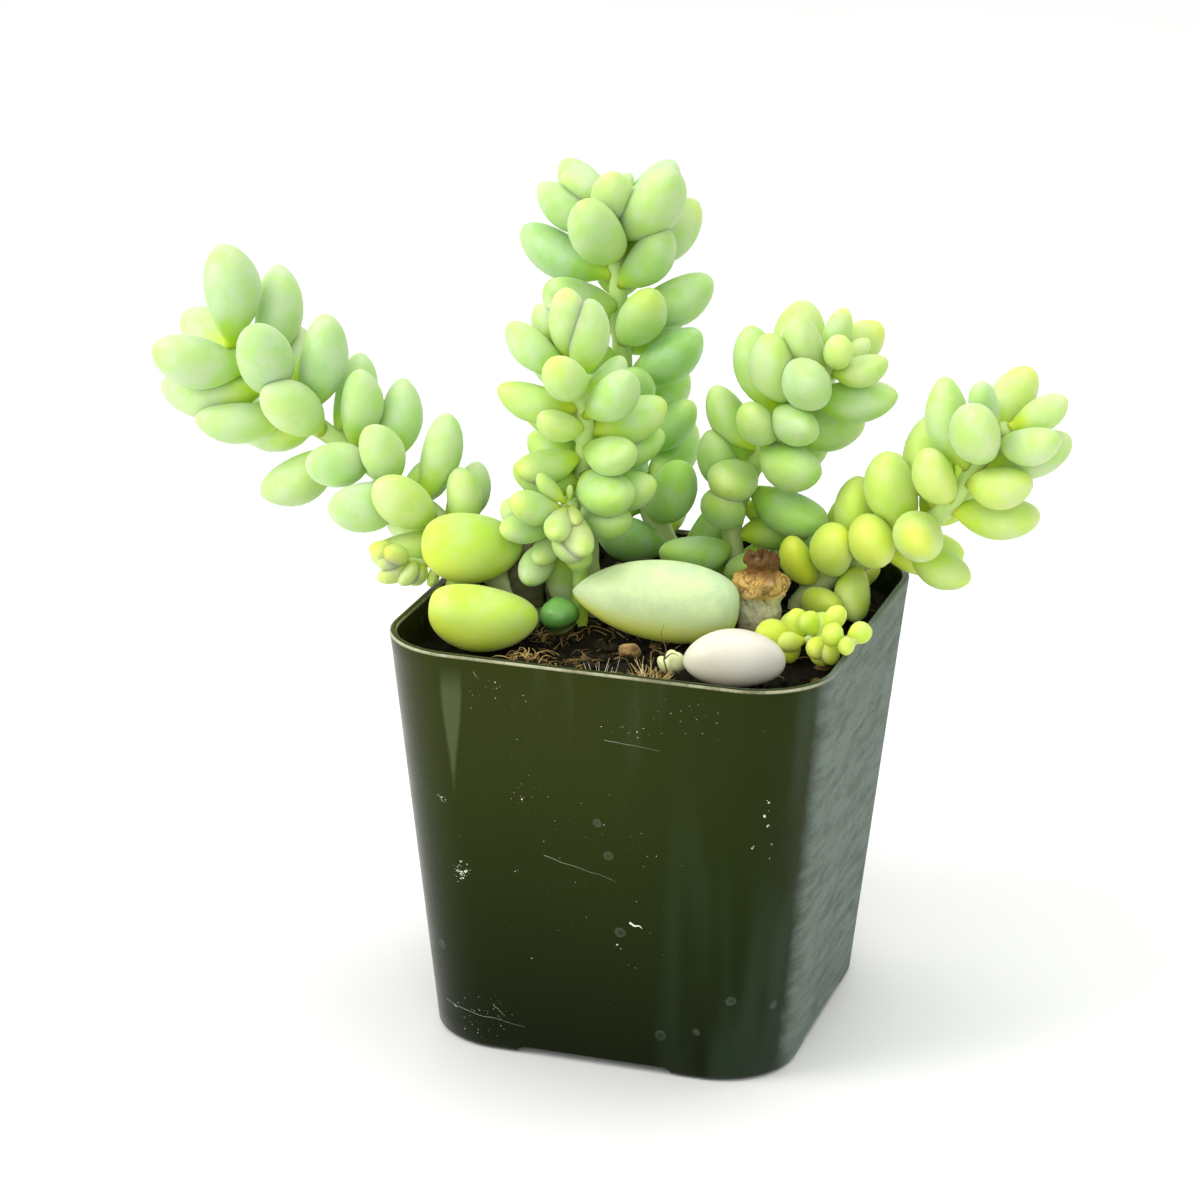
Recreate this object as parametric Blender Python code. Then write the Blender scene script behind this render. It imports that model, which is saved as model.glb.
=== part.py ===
"""Potted burro's tail plant: a square nursery pot, its soil, leafy shoots and loose leaves.

Lengths are in millimetres and become metres when a mesh is made. The pot stands on z = 0,
centred on the z axis, with its front wall towards -y.
"""
import math
import random

import bmesh
import bpy
import numpy as np

MM = 0.001

# Pot: a thin-walled square pot with rounded corners
POT_HEIGHT = 54.4
POT_TOP_HALF = 28.5
POT_BOTTOM_HALF = 23.6
POT_CORNER = 10.2
POT_WALL = 0.9
POT_FLOOR = 1.5
POT_RIM_BEVEL = 0.2
CORNER_STEPS = 5
NOTCH_WIDTH = 22.0
NOTCH_HEIGHT = 0.9
NOTCH_DEPTH = 7.0
DRAIN_RADIUS = 2.2
DRAIN_OFFSET = 18.0
DRAIN_SIDES = 16

# Soil
GAP = 0.3
SOIL_LEVEL = 50.2
SOIL_RINGS = (1.0, 0.7, 0.36)
SOIL_SIDE_POINTS = 3
SOIL_EDGE_TRIM = 0.997
HOLE_DEPTH = 8.6
HOLE_SIDES = 10

# Leaves of the solid: few sides, with the root end sunk in the stem
LEAF_SIDES = 5
LEAF_STATIONS = (0.16, 0.54, 0.88)
SPROUT_STATIONS = (0.25, 0.72)
SMALL_LEAF = 6.5
LEAF_NECK = 0.30
LEAF_SHIFT = 1.2
ROOT_POWER = 0.70
TIP_POWER = 0.56
LEAF_THICKNESS = 0.86
LEAF_SAG = 0.06
LEAF_ROOT_SUNK = 0.2
BALL_SHARES = (0.2, 0.35, 0.5, 0.65, 0.8, 0.92)

# How far a leaf's turn, spread (radians), length and width (shares) may stray from the rule
STRAY_TURN = 0.3
STRAY_SPREAD = 0.26
STRAY_LENGTH = 0.14
STRAY_WIDTH = 0.10
# A leaf without room is bent by one of these angles (radians), then shortened and tried again
BENDS = (0.0, 0.2, 0.4, 0.6, 0.8)
BEND_WAYS = 8
SHORTER = (1.0, 0.85, 0.7)
LEAF_ROOM = 0.35
SIDE_SWELL = 1.12
STEM_SIDES = 6
STEM_STRIDE = 5
CURVE_STEPS = 10
HOLE_PLAY = 0.35

# Loose pieces: (root end, tip end, width, thickness, direction of the width, form), where form
# is (share of the length where it is widest, power at the root, power at the tip, sag as a
# share of the length)
LOOSE_SIDES = 10
LOOSE_STATIONS = (0.05, 0.18, 0.36, 0.55, 0.74, 0.9, 0.97)
LOOSE_BALLS = 24
LEAF_SOIL = (
    (-11.3, -13.2, 54.6), (-24.8, -15.9, 55.6), 8.3, 7.4, (0.0, 0.3, 0.95), (0.56, 0.62, 0.37, 0.06))
LEAF_WIDE = (
    (12.1, -4.0, 55.6), (-8.8, -7.2, 56.7), 10.3, 7.4, (0.0, 0.35, 0.94), (0.42, 0.36, 0.74, 0.0))
PALE_LEAF = (
    (9.4, -19.6, 53.9), (21.4, -16.0, 53.9), 7.2, 6.2, (0.0, 0.4, 0.9), (0.5, 0.66, 0.60, -0.03))
PLANTLET_HEART = (7.8, -16.2, 51.3)
PLANTLET_DIRECTIONS = ((-0.8, -0.2, 0.5), (0.1, -0.4, 0.9), (-0.5, 0.6, 0.6))
PLANTLET_LEAF = 3.1
PIECE_SIDES = 10
STUB_PATH = ((-9.2, -2.9, 42.0), (-9.2, -2.9, 51.0), (-8.9, -3.5, 56.0), (-8.9, -4.6, 61.2))
STUB_STATIONS = (
    (0, 1.15), (0.4, 1.1), (0.72, 1.0), (0.83, 1.05), (0.875, 1.45), (0.925, 1.75), (0.97, 1.5), (1, 0.9))
BULB_PATH = ((-10.0, -6.9, 42.5), (-10.0, -6.9, 50.4), (-10.3, -7.3, 52.6), (-10.6, -7.6, 55.6))
BULB_STATIONS = (
    (0, 1.2), (0.4, 1.4), (0.5, 1.9), (0.62, 1.9), (0.7, 2.4), (0.8, 2.45), (0.9, 2.0), (1, 0.7))
STUMP_PATH = ((13.4, 0.8, 42.0), (13.4, 0.8, 51.0), (13.5, 1.0, 56.0), (13.6, 1.2, 61.6))
STUMP_STATIONS = (
    (0, 2.6, 0.0), (0.4, 2.6, 0.02), (0.52, 2.8, 0.05), (0.64, 2.7, 0.05), (0.74, 3.4, 0.06),
    (0.82, 3.1, 0.08), (0.88, 1.9, 0.08), (0.96, 2.3, 0.12), (1, 1.9, 0.14))
STUMP_RAGGED_RISE = 6
# On the old base of the left shoot: a bare scarred spur and one large yellowing leaf
SPUR_PATH = ((-16.8, -1.4, 52.0), (-17.2, -1.0, 57.0), (-17.7, -0.6, 61.0), (-18.2, 0.0, 64.6))
SPUR_STATIONS = ((0, 2.2), (0.3, 2.2), (0.5, 1.9), (0.7, 1.45), (0.82, 1.6), (0.93, 1.35), (1, 0.9))
LEAF_UPPER = (
    (-17.0, -2.4, 60.0), (-28.0, -9.4, 61.6), 9.0, 7.8, (0.0, 0.3, 0.95), (0.55, 0.60, 0.38, 0.04))
STUMP_SIDES = 12
STUMP_SEED = 4
CHUNK_AT = (0.6, -12.9, 51.8)
CHUNK_HALF = (1.5, 1.1, 0.9)
CHUNK_SEED = 2
CHUNK_STRAY = 0.18
PLANTLET_SLIM = 0.62
PLANTLET_OVERLAP = 0.35

# Shoots: the first two points of a path are the foot in the soil; angles are in degrees
LIME_SHOOTS = ("stem_low", "sprout_left", "sprout_right")

SHOOTS = {
    "stem_left": {
        "path": [(-16.5, -1.5, 42), (-16.5, -1.5, 51), (-22.5, -1.5, 57), (-29.5, -0.5, 62),
                 (-40.5, 2.5, 68), (-50.5, 2.5, 74), (-59, 2.5, 81)],
        "stem": (2.1, 1.0), "root": 0.5, "leaves": 28, "seed": 1287,
        "first": 0.327, "tight": 0.94, "turn": 294, "spiral": -138.4,
        "spread": (79, 52), "bend": 1.9, "lift": 0.3,
        "size": (10.2, 14.4), "bud": 0.0, "fat": 0.56,
    },
    "stem_tall": {
        "path": [(-2, 19, 42), (-2, 19, 51), (-9.5, 23, 62.5), (-12.5, 26.5, 74),
                 (-14, 27.5, 86.5), (-15, 29.5, 99)],
        "stem": (1.7, 1.1), "root": 0.5, "leaves": 35, "seed": 2045,
        "first": 0.178, "tight": 1.5, "turn": 206, "spiral": -140.4,
        "spread": (78, 78), "bend": 0.5, "lift": 0.41,
        "size": (11.0, 13.5), "bud": 0.8, "fat": 0.55,
    },
    "stem_middle": {
        "path": [(-9.5, 3.5, 42), (-9.5, 3.5, 51), (-10.5, 3, 66.5), (-10, 0, 78.5),
                 (-14.5, 3, 87.5)],
        "stem": (1.5, 1.0), "root": 0.5, "leaves": 29, "seed": 2707,
        "first": 0.492, "tight": 0.99, "turn": 96, "spiral": -139.8,
        "spread": (87, -23), "bend": 3.0, "lift": 0.15,
        "size": (10.4, 9.2), "bud": 0.76, "fat": 0.57,
    },
    "stem_front": {
        "path": [(-14, 2.5, 42), (-14, 2.5, 51), (-13.8, 0, 59), (-10, -5, 67.5)],
        "stem": (1.3, 1.0), "root": 0.5, "leaves": 22, "seed": 6006,
        "first": 0.552, "tight": 2.17, "turn": 242, "spiral": 139.6,
        "spread": (103, 46), "bend": 2.3, "lift": 0.14,
        "size": (8.6, 8.6), "bud": 0.73, "fat": 0.60,
    },
    "stem_right": {
        "path": [(6, 17, 42), (6, 17, 51), (5, 18, 59), (6.5, 19, 65), (11, 17.5, 73.5),
                 (19, 16, 83.5)],
        "stem": (1.6, 1.0), "root": 0.5, "leaves": 31, "seed": 7746,
        "first": 0.22, "tight": 1.25, "turn": 350, "spiral": 139.8,
        "spread": (107, 55), "bend": 1.3, "lift": 0.42,
        "size": (11.0, 11.8), "bud": 0.58, "fat": 0.57,
    },
    "stem_low": {
        "path": [(15.5, 13.5, 42), (15.5, 13.5, 51), (24.5, 15, 58.5), (33.5, 12.5, 65.5),
                 (39, 12, 74), (42, 10.5, 78.5)],
        "stem": (1.7, 1.0), "root": 0.5, "leaves": 28, "seed": 2771,
        "first": 0.159, "tight": 1.06, "turn": 51, "spiral": -139.6,
        "spread": (83, 52), "bend": 2.0, "lift": 0.33,
        "size": (10.6, 12.4), "bud": 0.4, "fat": 0.58,
    },
    "sprout_left": {
        "path": [(-24.5, -3, 42), (-24.5, -3, 51), (-26.5, -4.5, 56.5), (-31.5, -7.5, 58.5)],
        "stem": (0.6, 0.45), "root": 0.2, "leaves": 17, "seed": 4667,
        "first": 0.646, "tight": 1.21, "turn": 299, "spiral": 146.8,
        "spread": (83, 10), "bend": 2.9, "lift": -0.2,
        "size": (4.6, 4.6), "bud": 0.0, "fat": 0.73,
    },
    "sprout_right": {
        "path": [(19, -3, 42), (19, -3, 51), (21.5, -6.5, 53.5), (25, -9.5, 55.5), (29, -12, 56)],
        "stem": (0.6, 0.45), "root": 0.2, "leaves": 19, "seed": 4413,
        "first": 0.382, "tight": 0.77, "turn": 78, "spiral": -140.0,
        "spread": (94, 61), "bend": 1.3, "lift": -0.2,
        "size": (5.2, 3.2), "bud": 0.03, "fat": 0.79,
    },
}


def unit(vectors):
    vectors = np.asarray(vectors, float)
    return vectors / np.linalg.norm(vectors, axis=-1, keepdims=True)


# ---------------------------------------------------------------- meshes


def clear_scene():
    for item in list(bpy.data.objects):
        bpy.data.objects.remove(item, do_unlink=True)


def material(name, color, roughness):
    made = bpy.data.materials.new(name)
    made.use_nodes = True
    shader = made.node_tree.nodes["Principled BSDF"]
    shader.inputs["Base Color"].default_value = (*color, 1.0)
    shader.inputs["Roughness"].default_value = roughness
    shader.inputs["Metallic"].default_value = 0.0
    return made


def solid(name, points, faces, paint=None):
    """An object from points in millimetres, with its faces turned outwards."""
    mesh = bpy.data.meshes.new(name)
    mesh.from_pydata((np.asarray(points, float) * MM).tolist(), [], faces)
    shape = bmesh.new()
    shape.from_mesh(mesh)
    bmesh.ops.recalc_face_normals(shape, faces=shape.faces)
    bmesh.ops.triangulate(shape, faces=shape.faces)
    shape.to_mesh(mesh)
    shape.free()
    item = bpy.data.objects.new(name, mesh)
    bpy.context.scene.collection.objects.link(item)
    if paint:
        mesh.materials.append(paint)
    return item


def loft(rings):
    """Points and faces of a closed skin through rings of equal count, capped at both ends."""
    count = len(rings[0])
    points = np.vstack(rings)
    faces = []
    for level in range(len(rings) - 1):
        low = level * count
        high = low + count
        for k in range(count):
            after = (k + 1) % count
            faces.append((low + k, low + after, high + after, high + k))
    faces.append(tuple(range(count)))
    last = (len(rings) - 1) * count
    faces.append(tuple(last + k for k in range(count)))
    return points, faces


def pointed_loft(start, rings, end):
    """Like loft, but it closes in a point at each end."""
    count = len(rings[0])
    points = np.vstack([*rings, start, end])
    first = len(points) - 2
    faces = loft(rings)[1][:-2]
    top = (len(rings) - 1) * count
    for k in range(count):
        after = (k + 1) % count
        faces.append((first, after, k))
        faces.append((first + 1, top + k, top + after))
    return points, faces


def combine(base, others, operation):
    """Apply one Boolean of base with all the others, then remove them."""
    group = bpy.data.collections.new(base.name + "_operands")
    for other in others:
        group.objects.link(other)
    step = base.modifiers.new(operation.lower(), "BOOLEAN")
    step.operation = operation
    step.operand_type = "COLLECTION"
    step.collection = group
    step.solver = "EXACT"
    bpy.context.view_layer.update()
    graph = bpy.context.evaluated_depsgraph_get()
    mesh = bpy.data.meshes.new_from_object(base.evaluated_get(graph))
    base.modifiers.clear()
    base.data = mesh
    for other in others:
        bpy.data.objects.remove(other, do_unlink=True)
    bpy.data.collections.remove(group)
    keep_largest_shell(base)


def keep_largest_shell(item):
    """Drop loose scraps and the skins of hollows that the union sealed."""
    shape = bmesh.new()
    shape.from_mesh(item.data)
    bmesh.ops.remove_doubles(shape, verts=shape.verts, dist=2e-6)
    bmesh.ops.dissolve_degenerate(shape, edges=shape.edges, dist=1e-6)
    bmesh.ops.triangulate(shape, faces=shape.faces)
    shells = []
    unseen = set(shape.verts)
    while unseen:
        shell = {unseen.pop()}
        edge_of = list(shell)
        while edge_of:
            vert = edge_of.pop()
            for edge in vert.link_edges:
                other = edge.other_vert(vert)
                if other in unseen:
                    unseen.discard(other)
                    shell.add(other)
                    edge_of.append(other)
        shells.append(shell)
    shells.sort(key=len)
    for shell in shells[:-1]:
        bmesh.ops.delete(shape, geom=list(shell), context="VERTS")
    shape.to_mesh(item.data)
    shape.free()


# ---------------------------------------------------------------- pot and soil


def square_ring(half, corner, height, side_points=0):
    """A square with rounded corners, counter-clockwise."""
    ring = []
    for quarter in range(4):
        turn = quarter * math.pi / 2
        spot = []
        for k in range(CORNER_STEPS + 1):
            angle = k / CORNER_STEPS * math.pi / 2
            spot.append((half - corner + corner * math.cos(angle),
                         half - corner + corner * math.sin(angle)))
        reach = half - corner
        for k in range(side_points):
            across = reach - (k + 1) / (side_points + 1) * 2 * reach
            spot.append((across, half))
        for x, y in spot:
            ring.append((x * math.cos(turn) - y * math.sin(turn),
                         x * math.sin(turn) + y * math.cos(turn), height))
    return np.array(ring)


def outer_half(height):
    return POT_BOTTOM_HALF + (POT_TOP_HALF - POT_BOTTOM_HALF) * height / POT_HEIGHT


def inner_half(height):
    return outer_half(height) - POT_WALL


def make_pot(paint):
    inner_corner = POT_CORNER - POT_WALL
    below_rim = POT_HEIGHT - POT_RIM_BEVEL
    rings = [
        square_ring(outer_half(0), POT_CORNER, 0),
        square_ring(outer_half(below_rim), POT_CORNER, below_rim),
        square_ring(outer_half(POT_HEIGHT) - POT_RIM_BEVEL, POT_CORNER - POT_RIM_BEVEL,
                    POT_HEIGHT),
        square_ring(inner_half(POT_HEIGHT) + POT_RIM_BEVEL, inner_corner + POT_RIM_BEVEL,
                    POT_HEIGHT),
        square_ring(inner_half(below_rim), inner_corner, below_rim),
        square_ring(inner_half(POT_FLOOR), inner_corner, POT_FLOOR),
    ]
    pot = solid("pot", *loft(rings), paint)
    cutters = []
    for quarter in range(4):
        turn = quarter * math.pi / 2
        cutters.append(notch_cutter(turn))
        cutters.append(drain_cutter(turn))
    combine(pot, cutters, "DIFFERENCE")
    return pot


def notch_cutter(turn):
    """A shallow channel under the edge of the floor, in the middle of one side."""
    outline = []
    for x, z in ((-0.5, -1.0), (0.5, -1.0), (0.44, 1.0), (-0.44, 1.0)):
        outline.append((x * NOTCH_WIDTH, z * NOTCH_HEIGHT))
    rings = []
    for y in (-POT_TOP_HALF, -POT_BOTTOM_HALF + NOTCH_DEPTH):
        ring = []
        for x, z in outline:
            ring.append((x * math.cos(turn) - y * math.sin(turn),
                         x * math.sin(turn) + y * math.cos(turn), z))
        rings.append(np.array(ring))
    return solid("notch_cutter", *loft(rings))


def drain_cutter(turn):
    """A round drain hole through the floor, opening into the channel."""
    x = DRAIN_OFFSET * math.sin(turn)
    y = -DRAIN_OFFSET * math.cos(turn)
    low = circle((x, y, -1.0), DRAIN_RADIUS, DRAIN_SIDES)
    high = circle((x, y, POT_FLOOR + 1.0), DRAIN_RADIUS, DRAIN_SIDES)
    return solid("drain_cutter", *loft([low, high]))


def circle(centre, radius, sides):
    angles = np.arange(sides) * 2 * math.pi / sides
    ring = np.stack([np.cos(angles) * radius, np.sin(angles) * radius, np.zeros(sides)], 1)
    return ring + np.array(centre, float)


def soil_height(x, y):
    """Height of the uneven top of the soil; it sinks towards the front left corner."""
    sink = 1.6 * np.exp(-((x + 25.0) ** 2 + (y + 24.0) ** 2) / 220.0)
    bumps = 0.35 * np.sin(0.42 * x + 0.3 * y) + 0.3 * np.sin(0.37 * y - 0.21 * x + 1.3)
    return SOIL_LEVEL - sink + bumps


def make_soil(holes, paint):
    corner = POT_CORNER - POT_WALL - GAP
    rim = square_ring(inner_half(SOIL_LEVEL) - GAP, corner, SOIL_LEVEL, SOIL_SIDE_POINTS)
    floor = POT_FLOOR + GAP
    rings = [square_ring(inner_half(floor) - GAP, corner, floor, SOIL_SIDE_POINTS)]
    for share in SOIL_RINGS:
        ring = rim.copy()
        ring[:, :2] *= share
        ring[:, 2] = soil_height(ring[:, 0], ring[:, 1])
        rings.append(ring)
    # The outermost ring keeps clear of the leaning wall at its own height.
    rings[1][:, :2] *= SOIL_EDGE_TRIM
    soil = solid("soil", *loft(rings), paint)
    cutters = []
    for x, y, radius, depth in holes:
        low = circle((x, y, SOIL_LEVEL - depth), radius, HOLE_SIDES)
        high = circle((x, y, SOIL_LEVEL + 4.0), radius, HOLE_SIDES)
        cutters.append(solid("hole_cutter", *loft([low, high])))
    combine(soil, cutters, "DIFFERENCE")
    return soil


# ---------------------------------------------------------------- growth


def smooth_path(points):
    """A smooth curve through the points, closely stepped; its first run is straight."""
    p = np.array(points, float)
    p = np.vstack([2 * p[0] - p[1], p, 2 * p[-1] - p[-2]])
    t = np.arange(CURVE_STEPS)[:, None] / CURVE_STEPS
    runs = []
    for i in range(1, len(p) - 2):
        linear = (p[i + 1] - p[i - 1]) * t
        square = (2 * p[i - 1] - 5 * p[i] + 4 * p[i + 1] - p[i + 2]) * t**2
        cube = (3 * p[i] - p[i - 1] - 3 * p[i + 1] + p[i + 2]) * t**3
        runs.append(0.5 * (2 * p[i] + linear + square + cube))
    runs[0] = p[1] + (p[2] - p[1]) * t
    runs.append(p[-2:-1])
    return np.vstack(runs)


def carried_sides(path):
    """Tangents along the path and a side vector carried along it without twist."""
    tangents = unit(np.gradient(path, axis=0))
    side = unit(np.cross(tangents[0], (0.0, 1.0, 0.001)))
    sides = [side]
    for tangent in tangents[1:]:
        side = unit(side - tangent * (side @ tangent))
        sides.append(side)
    return tangents, np.array(sides)


def grow(plan):
    """Leaves of a shoot as (root, direction, upward side, length, width), placed in a spiral."""
    path = smooth_path(plan["path"])
    tangents, sides = carried_sides(path)
    steps = np.linalg.norm(np.diff(path, axis=0), axis=1)
    reach = np.concatenate([[0.0], np.cumsum(steps)])
    draw = random.Random(plan["seed"])
    leaves = []
    for i in range(plan["leaves"]):
        jitter = [draw.uniform(-1, 1) for _ in range(4)]
        u = i / (plan["leaves"] - 1)
        share = plan["first"] + (1 - plan["first"]) * (1 - (1 - u) ** plan["tight"])
        at = share * reach[-1]
        point = np.array([np.interp(at, reach, path[:, k]) for k in range(3)])
        along = unit([np.interp(at, reach, tangents[:, k]) for k in range(3)])
        side = np.array([np.interp(at, reach, sides[:, k]) for k in range(3)])
        side = unit(side - along * (side @ along))
        turn = math.radians(plan["turn"] + i * plan["spiral"]) + STRAY_TURN * jitter[0]
        low, high = plan["spread"]
        spread = math.radians(low + (high - low) * u ** plan["bend"])
        spread += STRAY_SPREAD * jitter[1]
        outward = math.cos(turn) * side + math.sin(turn) * np.cross(along, side)
        toward = math.cos(spread) * along + math.sin(spread) * outward
        toward = unit(toward + np.array([0, 0, plan["lift"] * math.sin(spread)]))
        small, large = plan["size"]
        bud = 1 - plan["bud"] * max(0.0, (u - 0.8) / 0.2) ** 1.5
        length = (small + (large - small) * u) * bud * (1 + STRAY_LENGTH * jitter[2])
        width = length * plan["fat"] * (1 + STRAY_WIDTH * jitter[3])
        root = point + outward * plan["root"]
        leaves.append((root, toward, along, length, width))
    return path, leaves


def leaf_balls(leaf):
    """Balls that fill a leaf, to test its room."""
    root, toward, _, length, width = leaf
    shares = np.array(BALL_SHARES)
    radii = leaf_profile(shares) * width / 2
    return np.hstack([root + toward * length * shares[:, None], radii[:, None]])


def leaf_profile(share):
    """Half-width of a leaf at a share of its length, as a share of the widest."""
    share = np.asarray(share, float)
    moved = share ** LEAF_SHIFT
    power = ROOT_POWER + (TIP_POWER - ROOT_POWER) * share
    body = np.clip(4 * moved * (1 - moved), 0, 1) ** power
    return np.maximum(body, LEAF_NECK * (1 - share) * (share < 0.2))


def room(balls, taken):
    """Least gap between the balls and what already stands there."""
    least = float(np.min(balls[:, 2] - balls[:, 3] - soil_height(balls[:, 0], balls[:, 1])))
    straight = POT_TOP_HALF - POT_CORNER
    for x, y, z, radius in balls:
        beyond = math.hypot(max(abs(x) - straight, 0.0), max(abs(y) - straight, 0.0))
        reach = straight + beyond
        outside = reach - POT_TOP_HALF
        inside = inner_half(POT_HEIGHT) - reach
        above = z - POT_HEIGHT
        least = min(least, max(outside, inside, above) - radius)
    if len(taken):
        apart = np.linalg.norm(balls[:, None, :3] - taken[None, :, :3], axis=2)
        least = min(least, float(np.min(apart - balls[:, None, 3] - taken[None, :, 3])))
    return least


def fit_leaf(leaf, taken):
    """The leaf itself, or bent or shortened until it clears its neighbours; None without room."""
    root, toward, along, length, width = leaf
    first = unit(np.cross(toward, along))
    second = np.cross(first, toward)
    for shorter in SHORTER:
        for bend in BENDS:
            for k in range(BEND_WAYS if bend else 1):
                angle = k * 2 * math.pi / BEND_WAYS
                away = math.cos(angle) * first + math.sin(angle) * second
                tried = (root, unit(toward + math.tan(bend) * away), along,
                         length * shorter, width * shorter)
                if room(leaf_balls(tried), taken) > LEAF_ROOM:
                    return tried
    return None


def leaf_mesh(leaf):
    root, toward, along, length, width = leaf
    above = unit(along - toward * (along @ toward) + 1e-9)
    across = np.cross(toward, above)
    angles = np.arange(LEAF_SIDES) * 2 * math.pi / LEAF_SIDES
    rings = []
    stations = LEAF_STATIONS if length > SMALL_LEAF else SPROUT_STATIONS
    for share in stations:
        radius = float(leaf_profile(share)) * width / 2 * SIDE_SWELL
        sag = -LEAF_SAG * length * math.sin(math.pi * share)
        centre = root + toward * length * share + above * sag
        ring = across * np.cos(angles)[:, None]
        ring = ring + above * LEAF_THICKNESS * np.sin(angles)[:, None]
        rings.append(centre + ring * radius)
    return pointed_loft(root - LEAF_ROOT_SUNK * toward, rings, root + toward * length)


def stem_mesh(path, thick, thin):
    """A tapering round stem along the path."""
    tangents, sides = carried_sides(path)
    angles = np.arange(STEM_SIDES) * 2 * math.pi / STEM_SIDES
    kept = list(range(0, len(path) - 1, STEM_STRIDE)) + [len(path) - 1]
    rings = []
    for i in kept:
        radius = thick + (thin - thick) * i / (len(path) - 1)
        across = np.cross(tangents[i], sides[i])
        ring = sides[i] * np.cos(angles)[:, None] + across * np.sin(angles)[:, None]
        rings.append(path[i] + ring * radius)
    return loft(rings)


def stem_balls(path, thick, thin):
    balls = []
    for i in range(0, len(path), 2):
        balls.append([*path[i], thick + (thin - thick) * i / (len(path) - 1)])
    return np.array(balls)


def make_shoot(name, plan, taken, paint, grown_on=()):
    """A leafy shoot fused into one body, and the balls that fill it."""
    path, leaves = grow(plan)
    thick, thin = plan["stem"]
    stem = solid(name, *stem_mesh(path, thick, thin), paint)
    filled = [stem_balls(path, thick, thin)]
    pieces = list(grown_on)
    if grown_on:
        filled.append(old_growth_balls())
    around = np.vstack([taken, *filled[1:]])
    for leaf in leaves:
        placed = fit_leaf(leaf, around)
        if placed is None:
            continue
        filled.append(leaf_balls(placed))
        pieces.append(solid(name + "_leaf", *leaf_mesh(placed), paint))
    combine(stem, pieces, "UNION")
    return np.vstack(filled)




# ---------------------------------------------------------------- loose pieces


def plump_axes(root, tip, flat):
    """Root, direction, direction of the width, direction of the thickness and length."""
    root = np.array(root, float)
    length = np.linalg.norm(np.array(tip, float) - root)
    toward = (np.array(tip, float) - root) / length
    flat = np.array(flat, float)
    across = unit(flat - toward * (flat @ toward))
    return root, toward, across, np.cross(toward, across), length


def plump_profile(share, form):
    """Half-width of a loose leaf at a share of its length, as a share of the widest."""
    widest, root_power, tip_power, _ = form
    moved = share ** (math.log(0.5) / math.log(widest))
    return (4 * moved * (1 - moved)) ** (root_power + (tip_power - root_power) * share)


def plump_centre(share, toward, across, length, form):
    """Centre of a loose leaf at a share of its length, from its root; it sags in the middle."""
    sag = form[3] * 4 * share * (1 - share)
    return (toward * share - across * sag) * length


def plump_leaf(name, root, tip, width, thickness, flat, form, paint):
    """A plump leaf between its two ends; flat is the direction of its width."""
    root, toward, across, above, length = plump_axes(root, tip, flat)
    angles = np.arange(LOOSE_SIDES) * 2 * math.pi / LOOSE_SIDES
    rings = []
    for share in LOOSE_STATIONS:
        swell = plump_profile(share, form)
        ring = (across * np.cos(angles)[:, None] * width / 2
                + above * np.sin(angles)[:, None] * thickness / 2)
        rings.append(root + plump_centre(share, toward, across, length, form) + ring * swell)
    points, faces = pointed_loft(root, rings, tip)
    return solid(name, points, faces, paint)


def plump_balls(root, tip, width, thickness, flat, form):
    """Two rows of balls side by side, which fill a leaf that is wider than it is thick."""
    root, toward, across, _, length = plump_axes(root, tip, flat)
    balls = []
    for share in (np.arange(LOOSE_BALLS) + 0.5) / LOOSE_BALLS:
        swell = plump_profile(share, form)
        for side in (-0.5, 0.5):
            spot = root + plump_centre(share, toward, across, length, form)
            spot = spot + across * side * (width - thickness) * swell
            balls.append([*spot, thickness / 2 * swell])
    return np.array(balls)


def turned_balls(path, stations):
    """Balls along a round piece."""
    curve = smooth_path(path)
    shares = [station[0] for station in stations]
    radii = [station[1] for station in stations]
    found = np.interp(np.arange(len(curve)) / (len(curve) - 1), shares, radii)
    return np.hstack([curve, found[:, None]])


def turned_piece(name, path, stations, paint):
    """A round piece along a path; stations are (share of the path, radius)."""
    curve = smooth_path(path)
    tangents, sides = carried_sides(curve)
    angles = np.arange(PIECE_SIDES) * 2 * math.pi / PIECE_SIDES
    rings = []
    for share, radius in stations:
        i = round(share * (len(curve) - 1))
        across = np.cross(tangents[i], sides[i])
        ring = sides[i] * np.cos(angles)[:, None] + across * np.sin(angles)[:, None]
        rings.append(curve[i] + ring * radius)
    return solid(name, *loft(rings), paint)


def make_stump(paint):
    """A broken-off old stem: a swollen base, a papery bulge and a ragged, hollow top."""
    curve = smooth_path(STUMP_PATH)
    tangents, sides = carried_sides(curve)
    draw = random.Random(STUMP_SEED)
    angles = np.arange(STUMP_SIDES) * 2 * math.pi / STUMP_SIDES
    rings = []
    for share, radius, ragged in STUMP_STATIONS:
        i = round(share * (len(curve) - 1))
        across = np.cross(tangents[i], sides[i])
        rough = np.array([1 + ragged * draw.uniform(-1, 1) for _ in angles])
        rise = np.array([STUMP_RAGGED_RISE * ragged * draw.uniform(-1, 1) for _ in angles])
        ring = sides[i] * np.cos(angles)[:, None] + across * np.sin(angles)[:, None]
        rings.append(curve[i] + ring * (radius * rough)[:, None] + np.outer(rise, tangents[i]))
    return solid("stump", *loft(rings), paint)


def make_cut_stub(paint):
    """A thin stalk that widens to a round cut end."""
    return turned_piece("cut_stub", STUB_PATH, STUB_STATIONS, paint)


def make_bulb_shoot(paint):
    """A single bulb-like young leaf on a short stalk."""
    return turned_piece("bulb_shoot", BULB_PATH, BULB_STATIONS, paint)


def make_old_growth(paint):
    """What the old base of the left shoot bears besides its own leaves."""
    return [
        turned_piece("spur", SPUR_PATH, SPUR_STATIONS, paint),
        plump_leaf("old_leaf", *LEAF_UPPER, paint),
    ]


def old_growth_balls():
    return np.vstack([turned_balls(SPUR_PATH, SPUR_STATIONS), plump_balls(*LEAF_UPPER)])


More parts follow.
